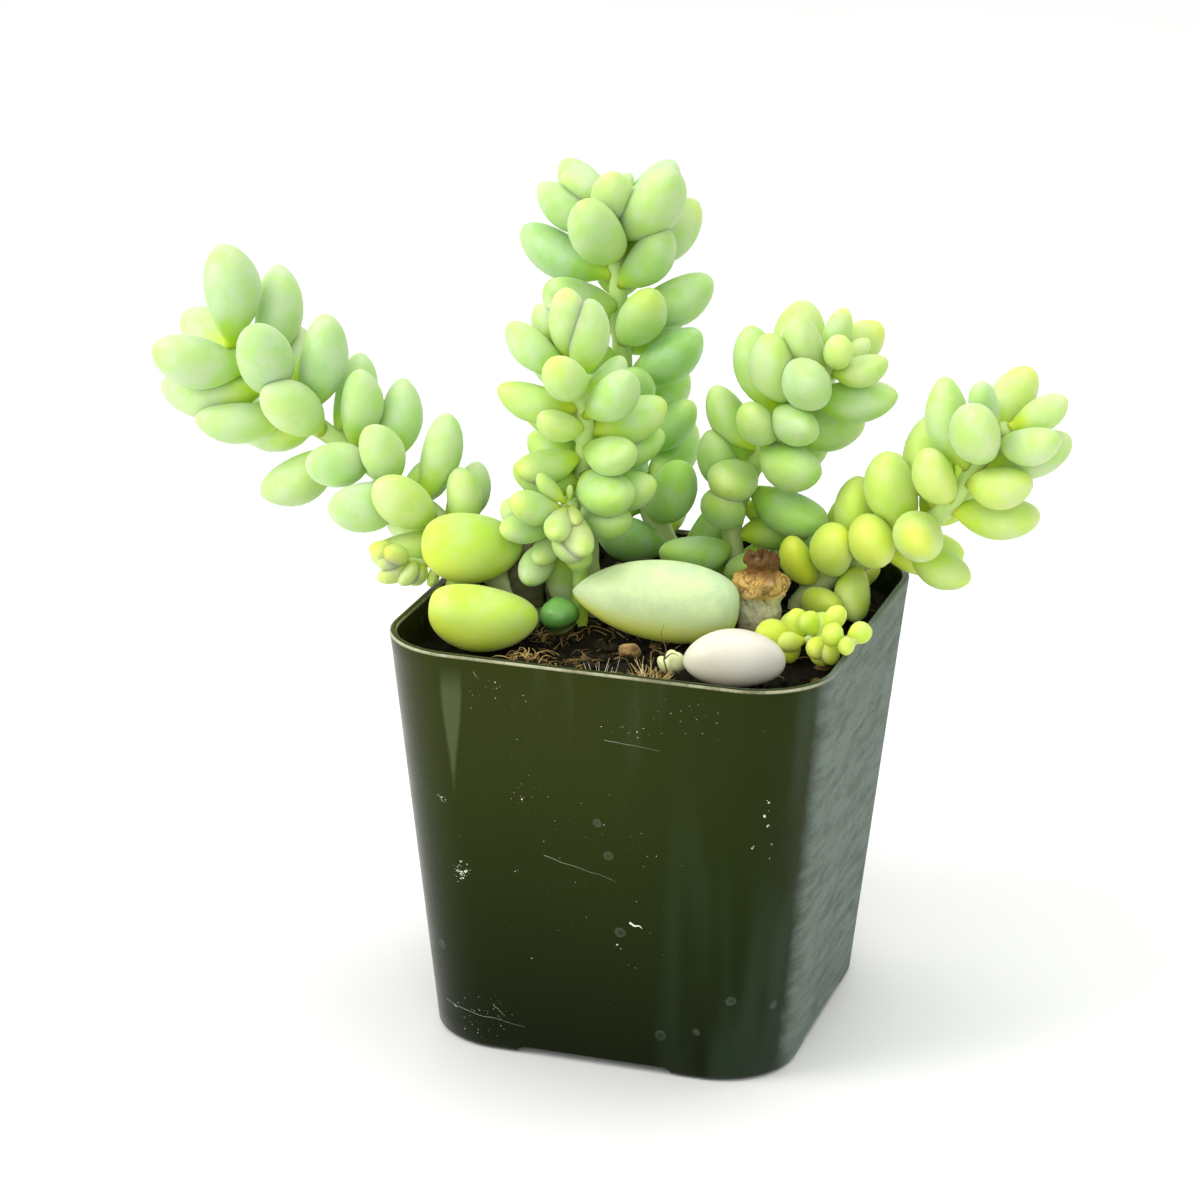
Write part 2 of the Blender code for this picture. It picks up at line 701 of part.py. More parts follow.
def plantlet_leaves():
    leaves = []
    for toward in PLANTLET_DIRECTIONS:
        root = np.array(PLANTLET_HEART) - PLANTLET_OVERLAP * unit(toward)
        leaves.append((root, unit(toward), np.array([0.1, 0.2, 1.0]),
                       PLANTLET_LEAF, PLANTLET_LEAF * PLANTLET_SLIM))
    return leaves


def make_plantlet(paint):
    """Three tiny leaves that meet at one point beside the spent leaf."""
    whole, *others = [solid("plantlet", *leaf_mesh(leaf), paint) for leaf in plantlet_leaves()]
    combine(whole, others, "UNION")
    whole.name = "plantlet"
    return whole


def make_chunk(paint):
    """A small angular piece of bark on the soil."""
    shape = bmesh.new()
    bmesh.ops.create_icosphere(shape, subdivisions=1, radius=1.0)
    draw = random.Random(CHUNK_SEED)
    points = []
    for vert in shape.verts:
        grown = 1 + CHUNK_STRAY * draw.uniform(-1, 1)
        points.append([vert.co[k] * CHUNK_HALF[k] * grown + CHUNK_AT[k] for k in range(3)])
    faces = [[vert.index for vert in face.verts] for face in shape.faces]
    shape.free()
    return solid("bark_chunk", points, faces, paint)


def hole_for(path, thick):
    x, y, _ = path[1]
    return (x, y, thick + HOLE_PLAY, HOLE_DEPTH)


def standing_balls():
    """Balls that fill every fixed piece, which the shoots must leave room for."""
    found = [
        turned_balls(STUMP_PATH, [station[:2] for station in STUMP_STATIONS]),
        turned_balls(STUB_PATH, STUB_STATIONS),
        turned_balls(BULB_PATH, BULB_STATIONS),
        plump_balls(*LEAF_SOIL),
        plump_balls(*LEAF_WIDE),
        plump_balls(*PALE_LEAF),
        np.array([[*CHUNK_AT, max(CHUNK_HALF)]]),
    ]
    found.extend(leaf_balls(leaf) for leaf in plantlet_leaves())
    return np.vstack(found)


def main():
    clear_scene()
    plastic = material("pot_plastic", (0.045, 0.06, 0.03), 0.3)
    earth = material("soil", (0.035, 0.025, 0.018), 0.95)
    green = material("leaf_green", (0.45, 0.68, 0.33), 0.45)
    lime = material("leaf_lime", (0.55, 0.78, 0.22), 0.45)
    dark = material("leaf_dark", (0.12, 0.3, 0.08), 0.4)
    bark = material("bark", (0.38, 0.27, 0.17), 0.85)
    pale = material("spent_leaf", (0.78, 0.7, 0.62), 0.5)
    make_pot(plastic)
    holes = [hole_for(plan["path"], plan["stem"][0]) for plan in SHOOTS.values()]
    holes.append(hole_for(STUMP_PATH, STUMP_STATIONS[0][1]))
    holes.append(hole_for(STUB_PATH, STUB_STATIONS[0][1]))
    holes.append(hole_for(BULB_PATH, BULB_STATIONS[0][1]))
    make_soil(holes, earth)
    make_stump(bark)
    make_cut_stub(green)
    make_bulb_shoot(dark)
    plump_leaf("leaf_soil", *LEAF_SOIL, lime)
    plump_leaf("leaf_wide", *LEAF_WIDE, green)
    plump_leaf("pale_leaf", *PALE_LEAF, pale)
    make_plantlet(pale)
    make_chunk(bark)
    filled = {"standing": standing_balls()}
    for name, plan in SHOOTS.items():
        filled[name] = stem_balls(smooth_path(plan["path"]), *plan["stem"])
    for name, plan in SHOOTS.items():
        taken = np.vstack([balls for other, balls in filled.items() if other != name])
        paint = lime if name in LIME_SHOOTS else green
        grown_on = make_old_growth(paint) if name == "stem_left" else ()
        filled[name] = make_shoot(name, plan, taken, paint, grown_on)


main()
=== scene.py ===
"""The potted burro's tail plant with its final looks: fine leaves, pot, soil and studio.

Lengths are in millimetres and become metres when a mesh is made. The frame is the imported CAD
part: the pot stands on z = 0 with its front wall towards -y.
"""

import math
import random

import bmesh
import bpy
import numpy as np
from mathutils import Matrix, Vector, noise


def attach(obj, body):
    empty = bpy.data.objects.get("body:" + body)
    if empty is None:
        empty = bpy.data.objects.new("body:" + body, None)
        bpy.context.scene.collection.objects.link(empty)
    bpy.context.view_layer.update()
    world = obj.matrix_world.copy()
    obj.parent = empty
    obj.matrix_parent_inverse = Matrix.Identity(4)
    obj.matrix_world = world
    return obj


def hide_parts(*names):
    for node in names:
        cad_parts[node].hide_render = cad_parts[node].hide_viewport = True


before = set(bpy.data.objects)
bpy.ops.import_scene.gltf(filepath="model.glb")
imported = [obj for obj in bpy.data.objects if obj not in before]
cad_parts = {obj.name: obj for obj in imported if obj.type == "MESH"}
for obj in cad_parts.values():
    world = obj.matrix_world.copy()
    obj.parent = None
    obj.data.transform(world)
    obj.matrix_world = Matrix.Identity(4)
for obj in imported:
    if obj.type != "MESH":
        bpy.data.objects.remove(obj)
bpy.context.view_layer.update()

MM = 0.001

# Pot: a thin-walled square pot with rounded corners
POT_HEIGHT = 54.4
POT_TOP_HALF = 28.5
POT_BOTTOM_HALF = 23.6
POT_CORNER = 10.2
POT_WALL = 0.9
POT_FLOOR = 1.5
NOTCH_WIDTH = 22.0
NOTCH_HEIGHT = 0.9
NOTCH_DEPTH = 7.0
DRAIN_RADIUS = 2.2
DRAIN_OFFSET = 18.0
DRAIN_SIDES = 32

# Soil, and the gap that it keeps to the inside of the pot
GAP = 0.3
SOIL_LEVEL = 50.2
# The soil sinks towards the front left corner: depth, place and spread of the dip
DIP_DEPTH = 1.6
DIP_AT = (-25.0, -24.0)
DIP_SPREAD = 220.0

# Leaves: the root end is a short neck that is sunk in the stem. The shift moves the widest place
# towards the tip, and the powers make the root end and the tip more pointed or blunter.
LEAF_NECK = 0.30
NECK_END = 0.2
LEAF_SHIFT = 1.2
ROOT_POWER = 0.70
TIP_POWER = 0.56
LEAF_SAG = 0.06
LEAF_ROOT_SUNK = 0.2
# The young leaves at the end of a shoot, which get smaller in a bud, as a share of its leaves
YOUNG_FROM = 0.8
YOUNG_SPAN = 0.2
# Places along a leaf of the balls that fill it, to test its room
BALL_SHARES = (0.2, 0.35, 0.5, 0.65, 0.8, 0.92)

# How far a leaf's turn, spread (radians), length and width (shares) may stray from the rule
STRAY_TURN = 0.3
STRAY_SPREAD = 0.26
STRAY_LENGTH = 0.14
STRAY_WIDTH = 0.10
# A leaf without room is bent by one of these angles (radians), then shortened and tried again
BENDS = (0.0, 0.2, 0.4, 0.6, 0.8)
BEND_WAYS = 8
SHORTER = (1.0, 0.85, 0.7)
LEAF_ROOM = 0.35
CURVE_STEPS = 10

# Loose pieces: (root end, tip end, width, thickness, direction of the width, form), where form
# is (share of the length where it is widest, power at the root, power at the tip, sag as a
# share of the length)
LOOSE_BALLS = 24
LEAF_SOIL = (
    (-11.3, -13.2, 54.6), (-24.8, -15.9, 55.6), 8.3, 7.4, (0.0, 0.3, 0.95), (0.56, 0.62, 0.37, 0.06))
LEAF_WIDE = (
    (12.1, -4.0, 55.6), (-8.8, -7.2, 56.7), 10.3, 7.4, (0.0, 0.35, 0.94), (0.42, 0.36, 0.74, 0.0))
PALE_LEAF = (
    (9.4, -19.6, 53.9), (21.4, -16.0, 53.9), 7.2, 6.2, (0.0, 0.4, 0.9), (0.5, 0.66, 0.60, -0.03))
PLANTLET_HEART = (7.8, -16.2, 51.3)
PLANTLET_DIRECTIONS = ((-0.8, -0.2, 0.5), (0.1, -0.4, 0.9), (-0.5, 0.6, 0.6))
PLANTLET_LEAF = 3.1
PLANTLET_SLIM = 0.62
PLANTLET_OVERLAP = 0.35
# Round pieces: points of the middle line, and stations of (share of its length, radius)
STUB_PATH = ((-9.2, -2.9, 42.0), (-9.2, -2.9, 51.0), (-8.9, -3.5, 56.0), (-8.9, -4.6, 61.2))
STUB_STATIONS = (
    (0, 1.15), (0.4, 1.1), (0.72, 1.0), (0.83, 1.05), (0.875, 1.45), (0.925, 1.75), (0.97, 1.5), (1, 0.9))
BULB_PATH = ((-10.0, -6.9, 42.5), (-10.0, -6.9, 50.4), (-10.3, -7.3, 52.6), (-10.6, -7.6, 55.6))
BULB_STATIONS = (
    (0, 1.2), (0.4, 1.4), (0.5, 1.9), (0.62, 1.9), (0.7, 2.4), (0.8, 2.45), (0.9, 2.0), (1, 0.7))
STUMP_PATH = ((13.4, 0.8, 42.0), (13.4, 0.8, 51.0), (13.5, 1.0, 56.0), (13.6, 1.2, 61.6))
STUMP_STATIONS = (
    (0, 2.6), (0.4, 2.6), (0.52, 2.8), (0.64, 2.7), (0.74, 3.4), (0.82, 3.1), (0.88, 1.9), (0.96, 2.3),
    (1, 1.9))
# On the old base of the left shoot: a bare scarred spur and one large yellowing leaf
SPUR_PATH = ((-16.8, -1.4, 52.0), (-17.2, -1.0, 57.0), (-17.7, -0.6, 61.0), (-18.2, 0.0, 64.6))
SPUR_STATIONS = ((0, 2.2), (0.3, 2.2), (0.5, 1.9), (0.7, 1.45), (0.82, 1.6), (0.93, 1.35), (1, 0.9))
LEAF_UPPER = (
    (-17.0, -2.4, 60.0), (-28.0, -9.4, 61.6), 9.0, 7.8, (0.0, 0.3, 0.95), (0.55, 0.60, 0.38, 0.04))
CHUNK_AT = (0.6, -12.9, 51.8)
CHUNK_HALF = (1.5, 1.1, 0.9)

# Shoots: the first two points of a path are the foot in the soil; angles are in degrees.
# stem: radius at the foot and at the tip; root: how far from the middle line a leaf starts.
# first: share of the path where the leaves begin; tight: how they crowd towards the tip.
# turn, spiral: angle of the first leaf round the stem and between two leaves.
# spread, bend: angle to the stem at the foot and at the tip, and where it changes.
# lift: how much the leaves rise; size: length at the foot and at the tip; bud: how much the
# youngest shrink; fat: width as a share of the length.
# tint, bloom: yellowness, and wax at the foot and at the tip, where less wax on the lower leaves
# is partly painted shade; slim: how much slimmer the youngest leaves of a crowded rosette are drawn,
# so that each one shows.
SHOOT_KEYS = (
    "path", "stem", "root", "leaves", "seed", "first", "tight", "turn", "spiral", "spread", "bend",
    "lift", "size", "bud", "fat", "tint", "bloom", "slim")
SHOOTS = {name: dict(zip(SHOOT_KEYS, row)) for name, row in {
    "stem_left": (
        ((-16.5, -1.5, 42), (-16.5, -1.5, 51), (-22.5, -1.5, 57), (-29.5, -0.5, 62), (-40.5, 2.5, 68),
         (-50.5, 2.5, 74), (-59, 2.5, 81)),
        (2.1, 1.0), 0.5, 28, 1287, 0.327, 0.94, 294, -138.4, (79, 52), 1.9, 0.3, (10.2, 14.4), 0.0,
        0.56, (0.38, 0.22), (0.9, 1.0), 0.0),
    "stem_tall": (
        ((-2, 19, 42), (-2, 19, 51), (-9.5, 23, 62.5), (-12.5, 26.5, 74), (-14, 27.5, 86.5),
         (-15, 29.5, 99)),
        (1.7, 1.1), 0.5, 35, 2045, 0.178, 1.5, 206, -140.4, (78, 78), 0.5, 0.41, (11.0, 13.5), 0.8,
        0.55, (0.16, 0.3), (0.48, 1.0), 0.0),
    "stem_middle": (
        ((-9.5, 3.5, 42), (-9.5, 3.5, 51), (-10.5, 3, 66.5), (-10, 0, 78.5), (-14.5, 3, 87.5)),
        (1.5, 1.0), 0.5, 29, 2707, 0.492, 0.99, 96, -139.8, (87, -23), 3.0, 0.15, (10.4, 9.2), 0.76,
        0.57, (0.24, 0.4), (0.5, 1.0), 0.1),
    "stem_front": (
        ((-14, 2.5, 42), (-14, 2.5, 51), (-13.8, 0, 59), (-10, -5, 67.5)),
        (1.3, 1.0), 0.5, 22, 6006, 0.552, 2.17, 242, 139.6, (103, 46), 2.3, 0.14, (8.6, 8.6), 0.73,
        0.6, (0.25, 0.42), (0.8, 0.8), 0.3),
    "stem_right": (
        ((6, 17, 42), (6, 17, 51), (5, 18, 59), (6.5, 19, 65), (11, 17.5, 73.5), (19, 16, 83.5)),
        (1.6, 1.0), 0.5, 31, 7746, 0.22, 1.25, 350, 139.8, (107, 55), 1.3, 0.42, (11.0, 11.8), 0.58,
        0.57, (0.26, 0.38), (0.48, 1.0), 0.0),
    "stem_low": (
        ((15.5, 13.5, 42), (15.5, 13.5, 51), (24.5, 15, 58.5), (33.5, 12.5, 65.5), (39, 12, 74),
         (42, 10.5, 78.5)),
        (1.7, 1.0), 0.5, 28, 2771, 0.159, 1.06, 51, -139.6, (83, 52), 2.0, 0.33, (10.6, 12.4), 0.4,
        0.58, (0.76, 0.34), (0.45, 1.0), 0.0),
    "sprout_left": (
        ((-24.5, -3, 42), (-24.5, -3, 51), (-26.5, -4.5, 56.5), (-31.5, -7.5, 58.5)),
        (0.6, 0.45), 0.2, 17, 4667, 0.646, 1.21, 299, 146.8, (83, 10), 2.9, -0.2, (4.6, 4.6), 0.0,
        0.73, (0.55, 0.52), (0.8, 0.8), 0.2),
    "sprout_right": (
        ((19, -3, 42), (19, -3, 51), (21.5, -6.5, 53.5), (25, -9.5, 55.5), (29, -12, 56)),
        (0.6, 0.45), 0.2, 19, 4413, 0.382, 0.77, 78, -140.0, (94, 61), 1.3, -0.2, (5.2, 3.2), 0.03,
        0.79, (0.68, 0.62), (0.4, 0.4), 0.0),
}.items()}


def unit(vectors):
    vectors = np.asarray(vectors, float)
    return vectors / np.linalg.norm(vectors, axis=-1, keepdims=True)


def loft(rings):
    """Points and faces of a closed skin through rings of equal count, capped at both ends."""
    count = len(rings[0])
    points = np.vstack(rings)
    faces = []
    for level in range(len(rings) - 1):
        low = level * count
        high = low + count
        for k in range(count):
            after = (k + 1) % count
            faces.append((low + k, low + after, high + after, high + k))
    faces.append(tuple(range(count)))
    last = (len(rings) - 1) * count
    faces.append(tuple(last + k for k in range(count)))
    return points, faces


def pointed_loft(start, rings, end):
    """Like loft, but it closes in a point at each end."""
    count = len(rings[0])
    points = np.vstack([*rings, start, end])
    first = len(points) - 2
    faces = loft(rings)[1][:-2]
    top = (len(rings) - 1) * count
    for k in range(count):
        after = (k + 1) % count
        faces.append((first, after, k))
        faces.append((first + 1, top + k, top + after))
    return points, faces


def angles_round(count):
    """Evenly spaced angles of a full turn."""
    return np.arange(count) * 2 * math.pi / count


def turning(count):
    """Cosines and sines of evenly spaced angles, as columns."""
    angles = angles_round(count)
    return np.cos(angles)[:, None], np.sin(angles)[:, None]


def about_z(points, turn):
    """The points turned about the upright axis."""
    return np.array([(x * math.cos(turn) - y * math.sin(turn),
                      x * math.sin(turn) + y * math.cos(turn), z) for x, y, z in points])


def outer_half(height):
    return POT_BOTTOM_HALF + (POT_TOP_HALF - POT_BOTTOM_HALF) * height / POT_HEIGHT


def inner_half(height):
    return outer_half(height) - POT_WALL


def soil_height(x, y):
    """Height of the uneven top of the soil; it sinks towards the front left corner."""
    sink = DIP_DEPTH * np.exp(-((x - DIP_AT[0]) ** 2 + (y - DIP_AT[1]) ** 2) / DIP_SPREAD)
    bumps = 0.35 * np.sin(0.42 * x + 0.3 * y) + 0.3 * np.sin(0.37 * y - 0.21 * x + 1.3)
    return SOIL_LEVEL - sink + bumps


def smooth_path(points):
    """A smooth curve through the points, closely stepped; its first run is straight."""
    p = np.array(points, float)
    p = np.vstack([2 * p[0] - p[1], p, 2 * p[-1] - p[-2]])
    t = np.arange(CURVE_STEPS)[:, None] / CURVE_STEPS
    runs = []
    for i in range(1, len(p) - 2):
        linear = (p[i + 1] - p[i - 1]) * t
        square = (2 * p[i - 1] - 5 * p[i] + 4 * p[i + 1] - p[i + 2]) * t**2
        cube = (3 * p[i] - p[i - 1] - 3 * p[i + 1] + p[i + 2]) * t**3
        runs.append(0.5 * (2 * p[i] + linear + square + cube))
    runs[0] = p[1] + (p[2] - p[1]) * t
    runs.append(p[-2:-1])
    return np.vstack(runs)


def carried_sides(path):
    """Tangents along the path and a side vector carried along it without twist."""
    tangents = unit(np.gradient(path, axis=0))
    side = unit(np.cross(tangents[0], (0.0, 1.0, 0.001)))
    sides = [side]
    for tangent in tangents[1:]:
        side = unit(side - tangent * (side @ tangent))
        sides.append(side)
    return tangents, np.array(sides)


def between(at, reach, rows):
    """The row at a place between the rows of a table, where reach holds the place of each."""
    return np.array([np.interp(at, reach, column) for column in rows.T])


def grow(plan):
    """Leaves of a shoot as (root, direction, upward side, length, width), placed in a spiral."""
    path = smooth_path(plan["path"])
    tangents, sides = carried_sides(path)
    steps = np.linalg.norm(np.diff(path, axis=0), axis=1)
    reach = np.concatenate([[0.0], np.cumsum(steps)])
    draw = random.Random(plan["seed"])
    leaves = []
    for i in range(plan["leaves"]):
        jitter = [draw.uniform(-1, 1) for _ in range(4)]
        u = i / (plan["leaves"] - 1)
        share = plan["first"] + (1 - plan["first"]) * (1 - (1 - u) ** plan["tight"])
        at = share * reach[-1]
        point = between(at, reach, path)
        along = unit(between(at, reach, tangents))
        side = between(at, reach, sides)
        side = unit(side - along * (side @ along))
        turn = math.radians(plan["turn"] + i * plan["spiral"]) + STRAY_TURN * jitter[0]
        low, high = plan["spread"]
        spread = math.radians(low + (high - low) * u ** plan["bend"])
        spread += STRAY_SPREAD * jitter[1]
        outward = math.cos(turn) * side + math.sin(turn) * np.cross(along, side)
        toward = math.cos(spread) * along + math.sin(spread) * outward
        toward = unit(toward + np.array([0, 0, plan["lift"] * math.sin(spread)]))
        small, large = plan["size"]
        bud = 1 - plan["bud"] * max(0.0, (u - YOUNG_FROM) / YOUNG_SPAN) ** 1.5
        length = (small + (large - small) * u) * bud * (1 + STRAY_LENGTH * jitter[2])
        width = length * plan["fat"] * (1 + STRAY_WIDTH * jitter[3])
        root = point + outward * plan["root"]
        leaves.append((root, toward, along, length, width))
    return path, leaves


def leaf_profile(share):
    """Half-width of a leaf at a share of its length, as a share of the widest."""
    share = np.asarray(share, float)
    moved = share ** LEAF_SHIFT
    power = ROOT_POWER + (TIP_POWER - ROOT_POWER) * share
    body = np.clip(4 * moved * (1 - moved), 0, 1) ** power
    return np.maximum(body, LEAF_NECK * (1 - share) * (share < NECK_END))


def leaf_balls(leaf):
    """Balls that fill a leaf, to test its room."""
    root, toward, _, length, width = leaf
    shares = np.array(BALL_SHARES)
    radii = leaf_profile(shares) * width / 2
    return np.hstack([root + toward * length * shares[:, None], radii[:, None]])


def room(balls, taken):
    """Least gap between the balls and what already stands there."""
    least = float(np.min(balls[:, 2] - balls[:, 3] - soil_height(balls[:, 0], balls[:, 1])))
    straight = POT_TOP_HALF - POT_CORNER
    for x, y, z, radius in balls:
        beyond = math.hypot(max(abs(x) - straight, 0.0), max(abs(y) - straight, 0.0))
        reach = straight + beyond
        outside = reach - POT_TOP_HALF
        inside = inner_half(POT_HEIGHT) - reach
        above = z - POT_HEIGHT
        least = min(least, max(outside, inside, above) - radius)
    if len(taken):
        apart = np.linalg.norm(balls[:, None, :3] - taken[None, :, :3], axis=2)
        least = min(least, float(np.min(apart - balls[:, None, 3] - taken[None, :, 3])))
    return least


def fit_leaf(leaf, taken):
    """The leaf itself, or bent or shortened until it clears its neighbours; None without room."""
    root, toward, along, length, width = leaf
    first = unit(np.cross(toward, along))
    second = np.cross(first, toward)
    for shorter in SHORTER:
        for bend in BENDS:
            for k in range(BEND_WAYS if bend else 1):
                angle = k * 2 * math.pi / BEND_WAYS
                away = math.cos(angle) * first + math.sin(angle) * second
                tried = (root, unit(toward + math.tan(bend) * away), along,
                         length * shorter, width * shorter)
                if room(leaf_balls(tried), taken) > LEAF_ROOM:
                    return tried
    return None


def stem_balls(path, thick, thin):
    balls = []
    for i in range(0, len(path), 2):
        balls.append([*path[i], thick + (thin - thick) * i / (len(path) - 1)])
    return np.array(balls)


def plump_axes(root, tip, flat):
    """Root, direction, direction of the width, direction of the thickness and length."""
    root = np.array(root, float)
    length = np.linalg.norm(np.array(tip, float) - root)
    toward = (np.array(tip, float) - root) / length
    flat = np.array(flat, float)
    across = unit(flat - toward * (flat @ toward))
    return root, toward, across, np.cross(toward, across), length


def plump_profile(share, form):
    """Half-width of a loose leaf at a share of its length, as a share of the widest."""
    widest, root_power, tip_power, _ = form
    moved = share ** (math.log(0.5) / math.log(widest))
    return (4 * moved * (1 - moved)) ** (root_power + (tip_power - root_power) * share)


def plump_centre(share, toward, across, length, form):
    """Centre of a loose leaf at a share of its length, from its root; it sags in the middle."""
    sag = form[3] * 4 * share * (1 - share)
    return (toward * share - across * sag) * length


def plump_balls(root, tip, width, thickness, flat, form):
    """Two rows of balls side by side, which fill a leaf that is wider than it is thick."""
    root, toward, across, _, length = plump_axes(root, tip, flat)
    balls = []
    for share in (np.arange(LOOSE_BALLS) + 0.5) / LOOSE_BALLS:
        swell = plump_profile(share, form)
        for side in (-0.5, 0.5):
            spot = root + plump_centre(share, toward, across, length, form)
            spot = spot + across * side * (width - thickness) * swell
            balls.append([*spot, thickness / 2 * swell])
    return np.array(balls)


def turned_balls(path, stations):
    """Balls along a round piece."""
    curve = smooth_path(path)
    shares = [station[0] for station in stations]
    radii = [station[1] for station in stations]
    found = np.interp(np.arange(len(curve)) / (len(curve) - 1), shares, radii)
    return np.hstack([curve, found[:, None]])


def old_growth_balls():
    return np.vstack([turned_balls(SPUR_PATH, SPUR_STATIONS), plump_balls(*LEAF_UPPER)])


def plantlet_leaves():
    leaves = []
    for toward in PLANTLET_DIRECTIONS:
        root = np.array(PLANTLET_HEART) - PLANTLET_OVERLAP * unit(toward)
        leaves.append((root, unit(toward), np.array([0.1, 0.2, 1.0]),
                       PLANTLET_LEAF, PLANTLET_LEAF * PLANTLET_SLIM))
    return leaves


def standing_balls():
    """Balls that fill every fixed piece, which the shoots must leave room for."""
    found = [
        turned_balls(STUMP_PATH, STUMP_STATIONS),
        turned_balls(STUB_PATH, STUB_STATIONS),
        turned_balls(BULB_PATH, BULB_STATIONS),
        plump_balls(*LEAF_SOIL),
        plump_balls(*LEAF_WIDE),
        plump_balls(*PALE_LEAF),
        np.array([[*CHUNK_AT, max(CHUNK_HALF)]]),
    ]
    found.extend(leaf_balls(leaf) for leaf in plantlet_leaves())
    return np.vstack(found)


# ---------------------------------------------------------------- fine meshes


class Batch:
    """Points, faces and per-point values of many small shapes that make one piece."""

    def __init__(self, *keys):
        self.points = []
        self.faces = []
        self.paints = []
        self.values = {key: [] for key in keys}
        self.count = 0

    def add(self, points, faces, paint=0, **values):
        self.points.append(np.asarray(points, float))
        self.faces.extend([tuple(self.count + k for k in face) for face in faces])
        self.paints.extend([paint] * len(faces))
        for key, found in self.values.items():
            value = values.get(key, 0.0)
            found.append(np.broadcast_to(np.asarray(value, float), (len(points),)))
        self.count += len(points)

    def make(self, name, paints, slot, *replaced):
        """The finished object, riding on the one body."""
        mesh = closed_mesh(name, np.vstack(self.points), self.faces)
        for key, found in self.values.items():
            attribute = mesh.attributes.new(key, "FLOAT", "POINT")
            attribute.data.foreach_set("value", np.concatenate(found))
        for paint in paints:
            mesh.materials.append(paint)
        mesh.polygons.foreach_set("material_index", self.paints)
        mesh.shade_smooth()
        item = put(name, mesh)
        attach(item, "root")
        if replaced:
            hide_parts(*replaced)
        return item

    def stand_in(self, node, *paints):
        """The finished object in place of a node of the CAD part."""
        return self.make(node + "_fine", paints, SLOTS[node], node)


def leaf_batch():
    return Batch("share", "tint", "bloom", "patch")


def closed_mesh(name, points, faces):
    """A mesh in metres with all its faces turned outwards."""
    mesh = bpy.data.meshes.new(name)
    mesh.from_pydata((np.asarray(points) * MM).tolist(), [], faces)
    shape = bmesh.new()
    shape.from_mesh(mesh)
    bmesh.ops.recalc_face_normals(shape, faces=shape.faces)
    shape.to_mesh(mesh)
    shape.free()
    return mesh


def put(name, content):
    """A new object in the scene."""
    item = bpy.data.objects.new(name, content)
    bpy.context.scene.collection.objects.link(item)
    return item


# Sides and rings of a leaf, and of one that is shorter than a small leaf
FINE_DETAIL = (20, 16)
SMALL_DETAIL = (14, 10)
SMALL_LEAF = 6.5
# How much longer and wider the plantlet's leaves are drawn
PLANTLET_LONGER = 1.05
PLANTLET_WIDER = 1.12
PLANTLET_DETAIL = (20, 14)
# Thickness of a leaf above and below its middle, as a share of its width
UPPER_SIDE = 0.80
UNDER_SIDE = 0.90
# How far a leaf strays in its tip's power, widest place, lean to a side, flatness and waviness
TIP_STRAY = 0.07
WIDEST_STRAY = 0.12
LEAN_STRAY = 0.03
FLAT_STRAY = 0.16
WAVINESS = 0.02
TINT_STRAY = 0.12
# Swellings of a stem: their size and step in radians, and how far its radius strays
STEM_SIDES = 14
SWELLING = 0.05
SWELLING_STEP = 2.1
STEM_STRAY = 0.03


def fine_leaf(batch, leaf, draw, tint, bloom, sides, ring_count):
    """A plump, slightly pointed leaf, flatter on its upper side, attached at a small base."""
    root, toward, along, length, width = leaf
    above = unit(along - toward * (along @ toward) + 1e-9)
    across = np.cross(toward, above)
    tip_power = TIP_POWER + TIP_STRAY * draw.uniform(-1, 1)
    widest = LEAF_SHIFT + WIDEST_STRAY * draw.uniform(-1, 1)
    lean = draw.uniform(-LEAN_STRAY, LEAN_STRAY)
    lobe = draw.uniform(0, 2 * math.pi)
    angles = angles_round(sides)
    edge = 1 + FLAT_STRAY * draw.random()
    round_up = np.sign(np.sin(angles)) * np.abs(np.sin(angles)) ** edge
    upper = np.where(np.sin(angles) > 0, UPPER_SIDE, UNDER_SIDE)
    rings = []
    shares = []
    for k in range(1, ring_count):
        share = 0.5 - 0.5 * math.cos(math.pi * k / ring_count)
        moved = share ** widest
        power = ROOT_POWER + (tip_power - ROOT_POWER) * share
        radius = max((4 * moved * (1 - moved)) ** power, LEAF_NECK * (1 - share) * (share < NECK_END))
        swell = math.sin(math.pi * share)
        wobble = 1 + WAVINESS * swell * np.cos(2 * angles + lobe)
        centre = root + toward * length * share
        centre = centre + above * -LEAF_SAG * length * swell
        centre = centre + across * lean * length * swell
        ring = across * (np.cos(angles) * wobble)[:, None]
        ring = ring + above * (round_up * upper * wobble)[:, None]
        rings.append(centre + ring * radius * width / 2)
        shares.append(share)
    points, faces = pointed_loft(root - LEAF_ROOT_SUNK * toward, rings, root + toward * length)
    along_leaf = np.concatenate([np.repeat(shares, sides), [0.0, 1.0]])
    batch.add(points, faces, share=along_leaf, tint=tint, bloom=bloom, patch=draw.random())


def tube(path, radii, sides):
    """Points and faces of a round skin along a path."""
    cosines, sines = turning(sides)
    rings = []
    for spot, tangent, side, radius in zip(path, *carried_sides(path), radii):
        rings.append(spot + (side * cosines + np.cross(tangent, side) * sines) * radius)
    return loft(rings)


def fine_stem(batch, path, thick, thin, draw):
    """A round stem with slight swellings where leaves sit or have dropped off."""
    last = len(path) - 1
    radii = []
    for i in range(last + 1):
        uneven = 1 + SWELLING * math.sin(SWELLING_STEP * i) + STEM_STRAY * draw.uniform(-1, 1)
        radii.append((thick + (thin - thick) * i / last) * uneven)
    batch.add(*tube(path, radii, STEM_SIDES), 1, share=np.repeat(np.linspace(0, 1, last + 1), STEM_SIDES))


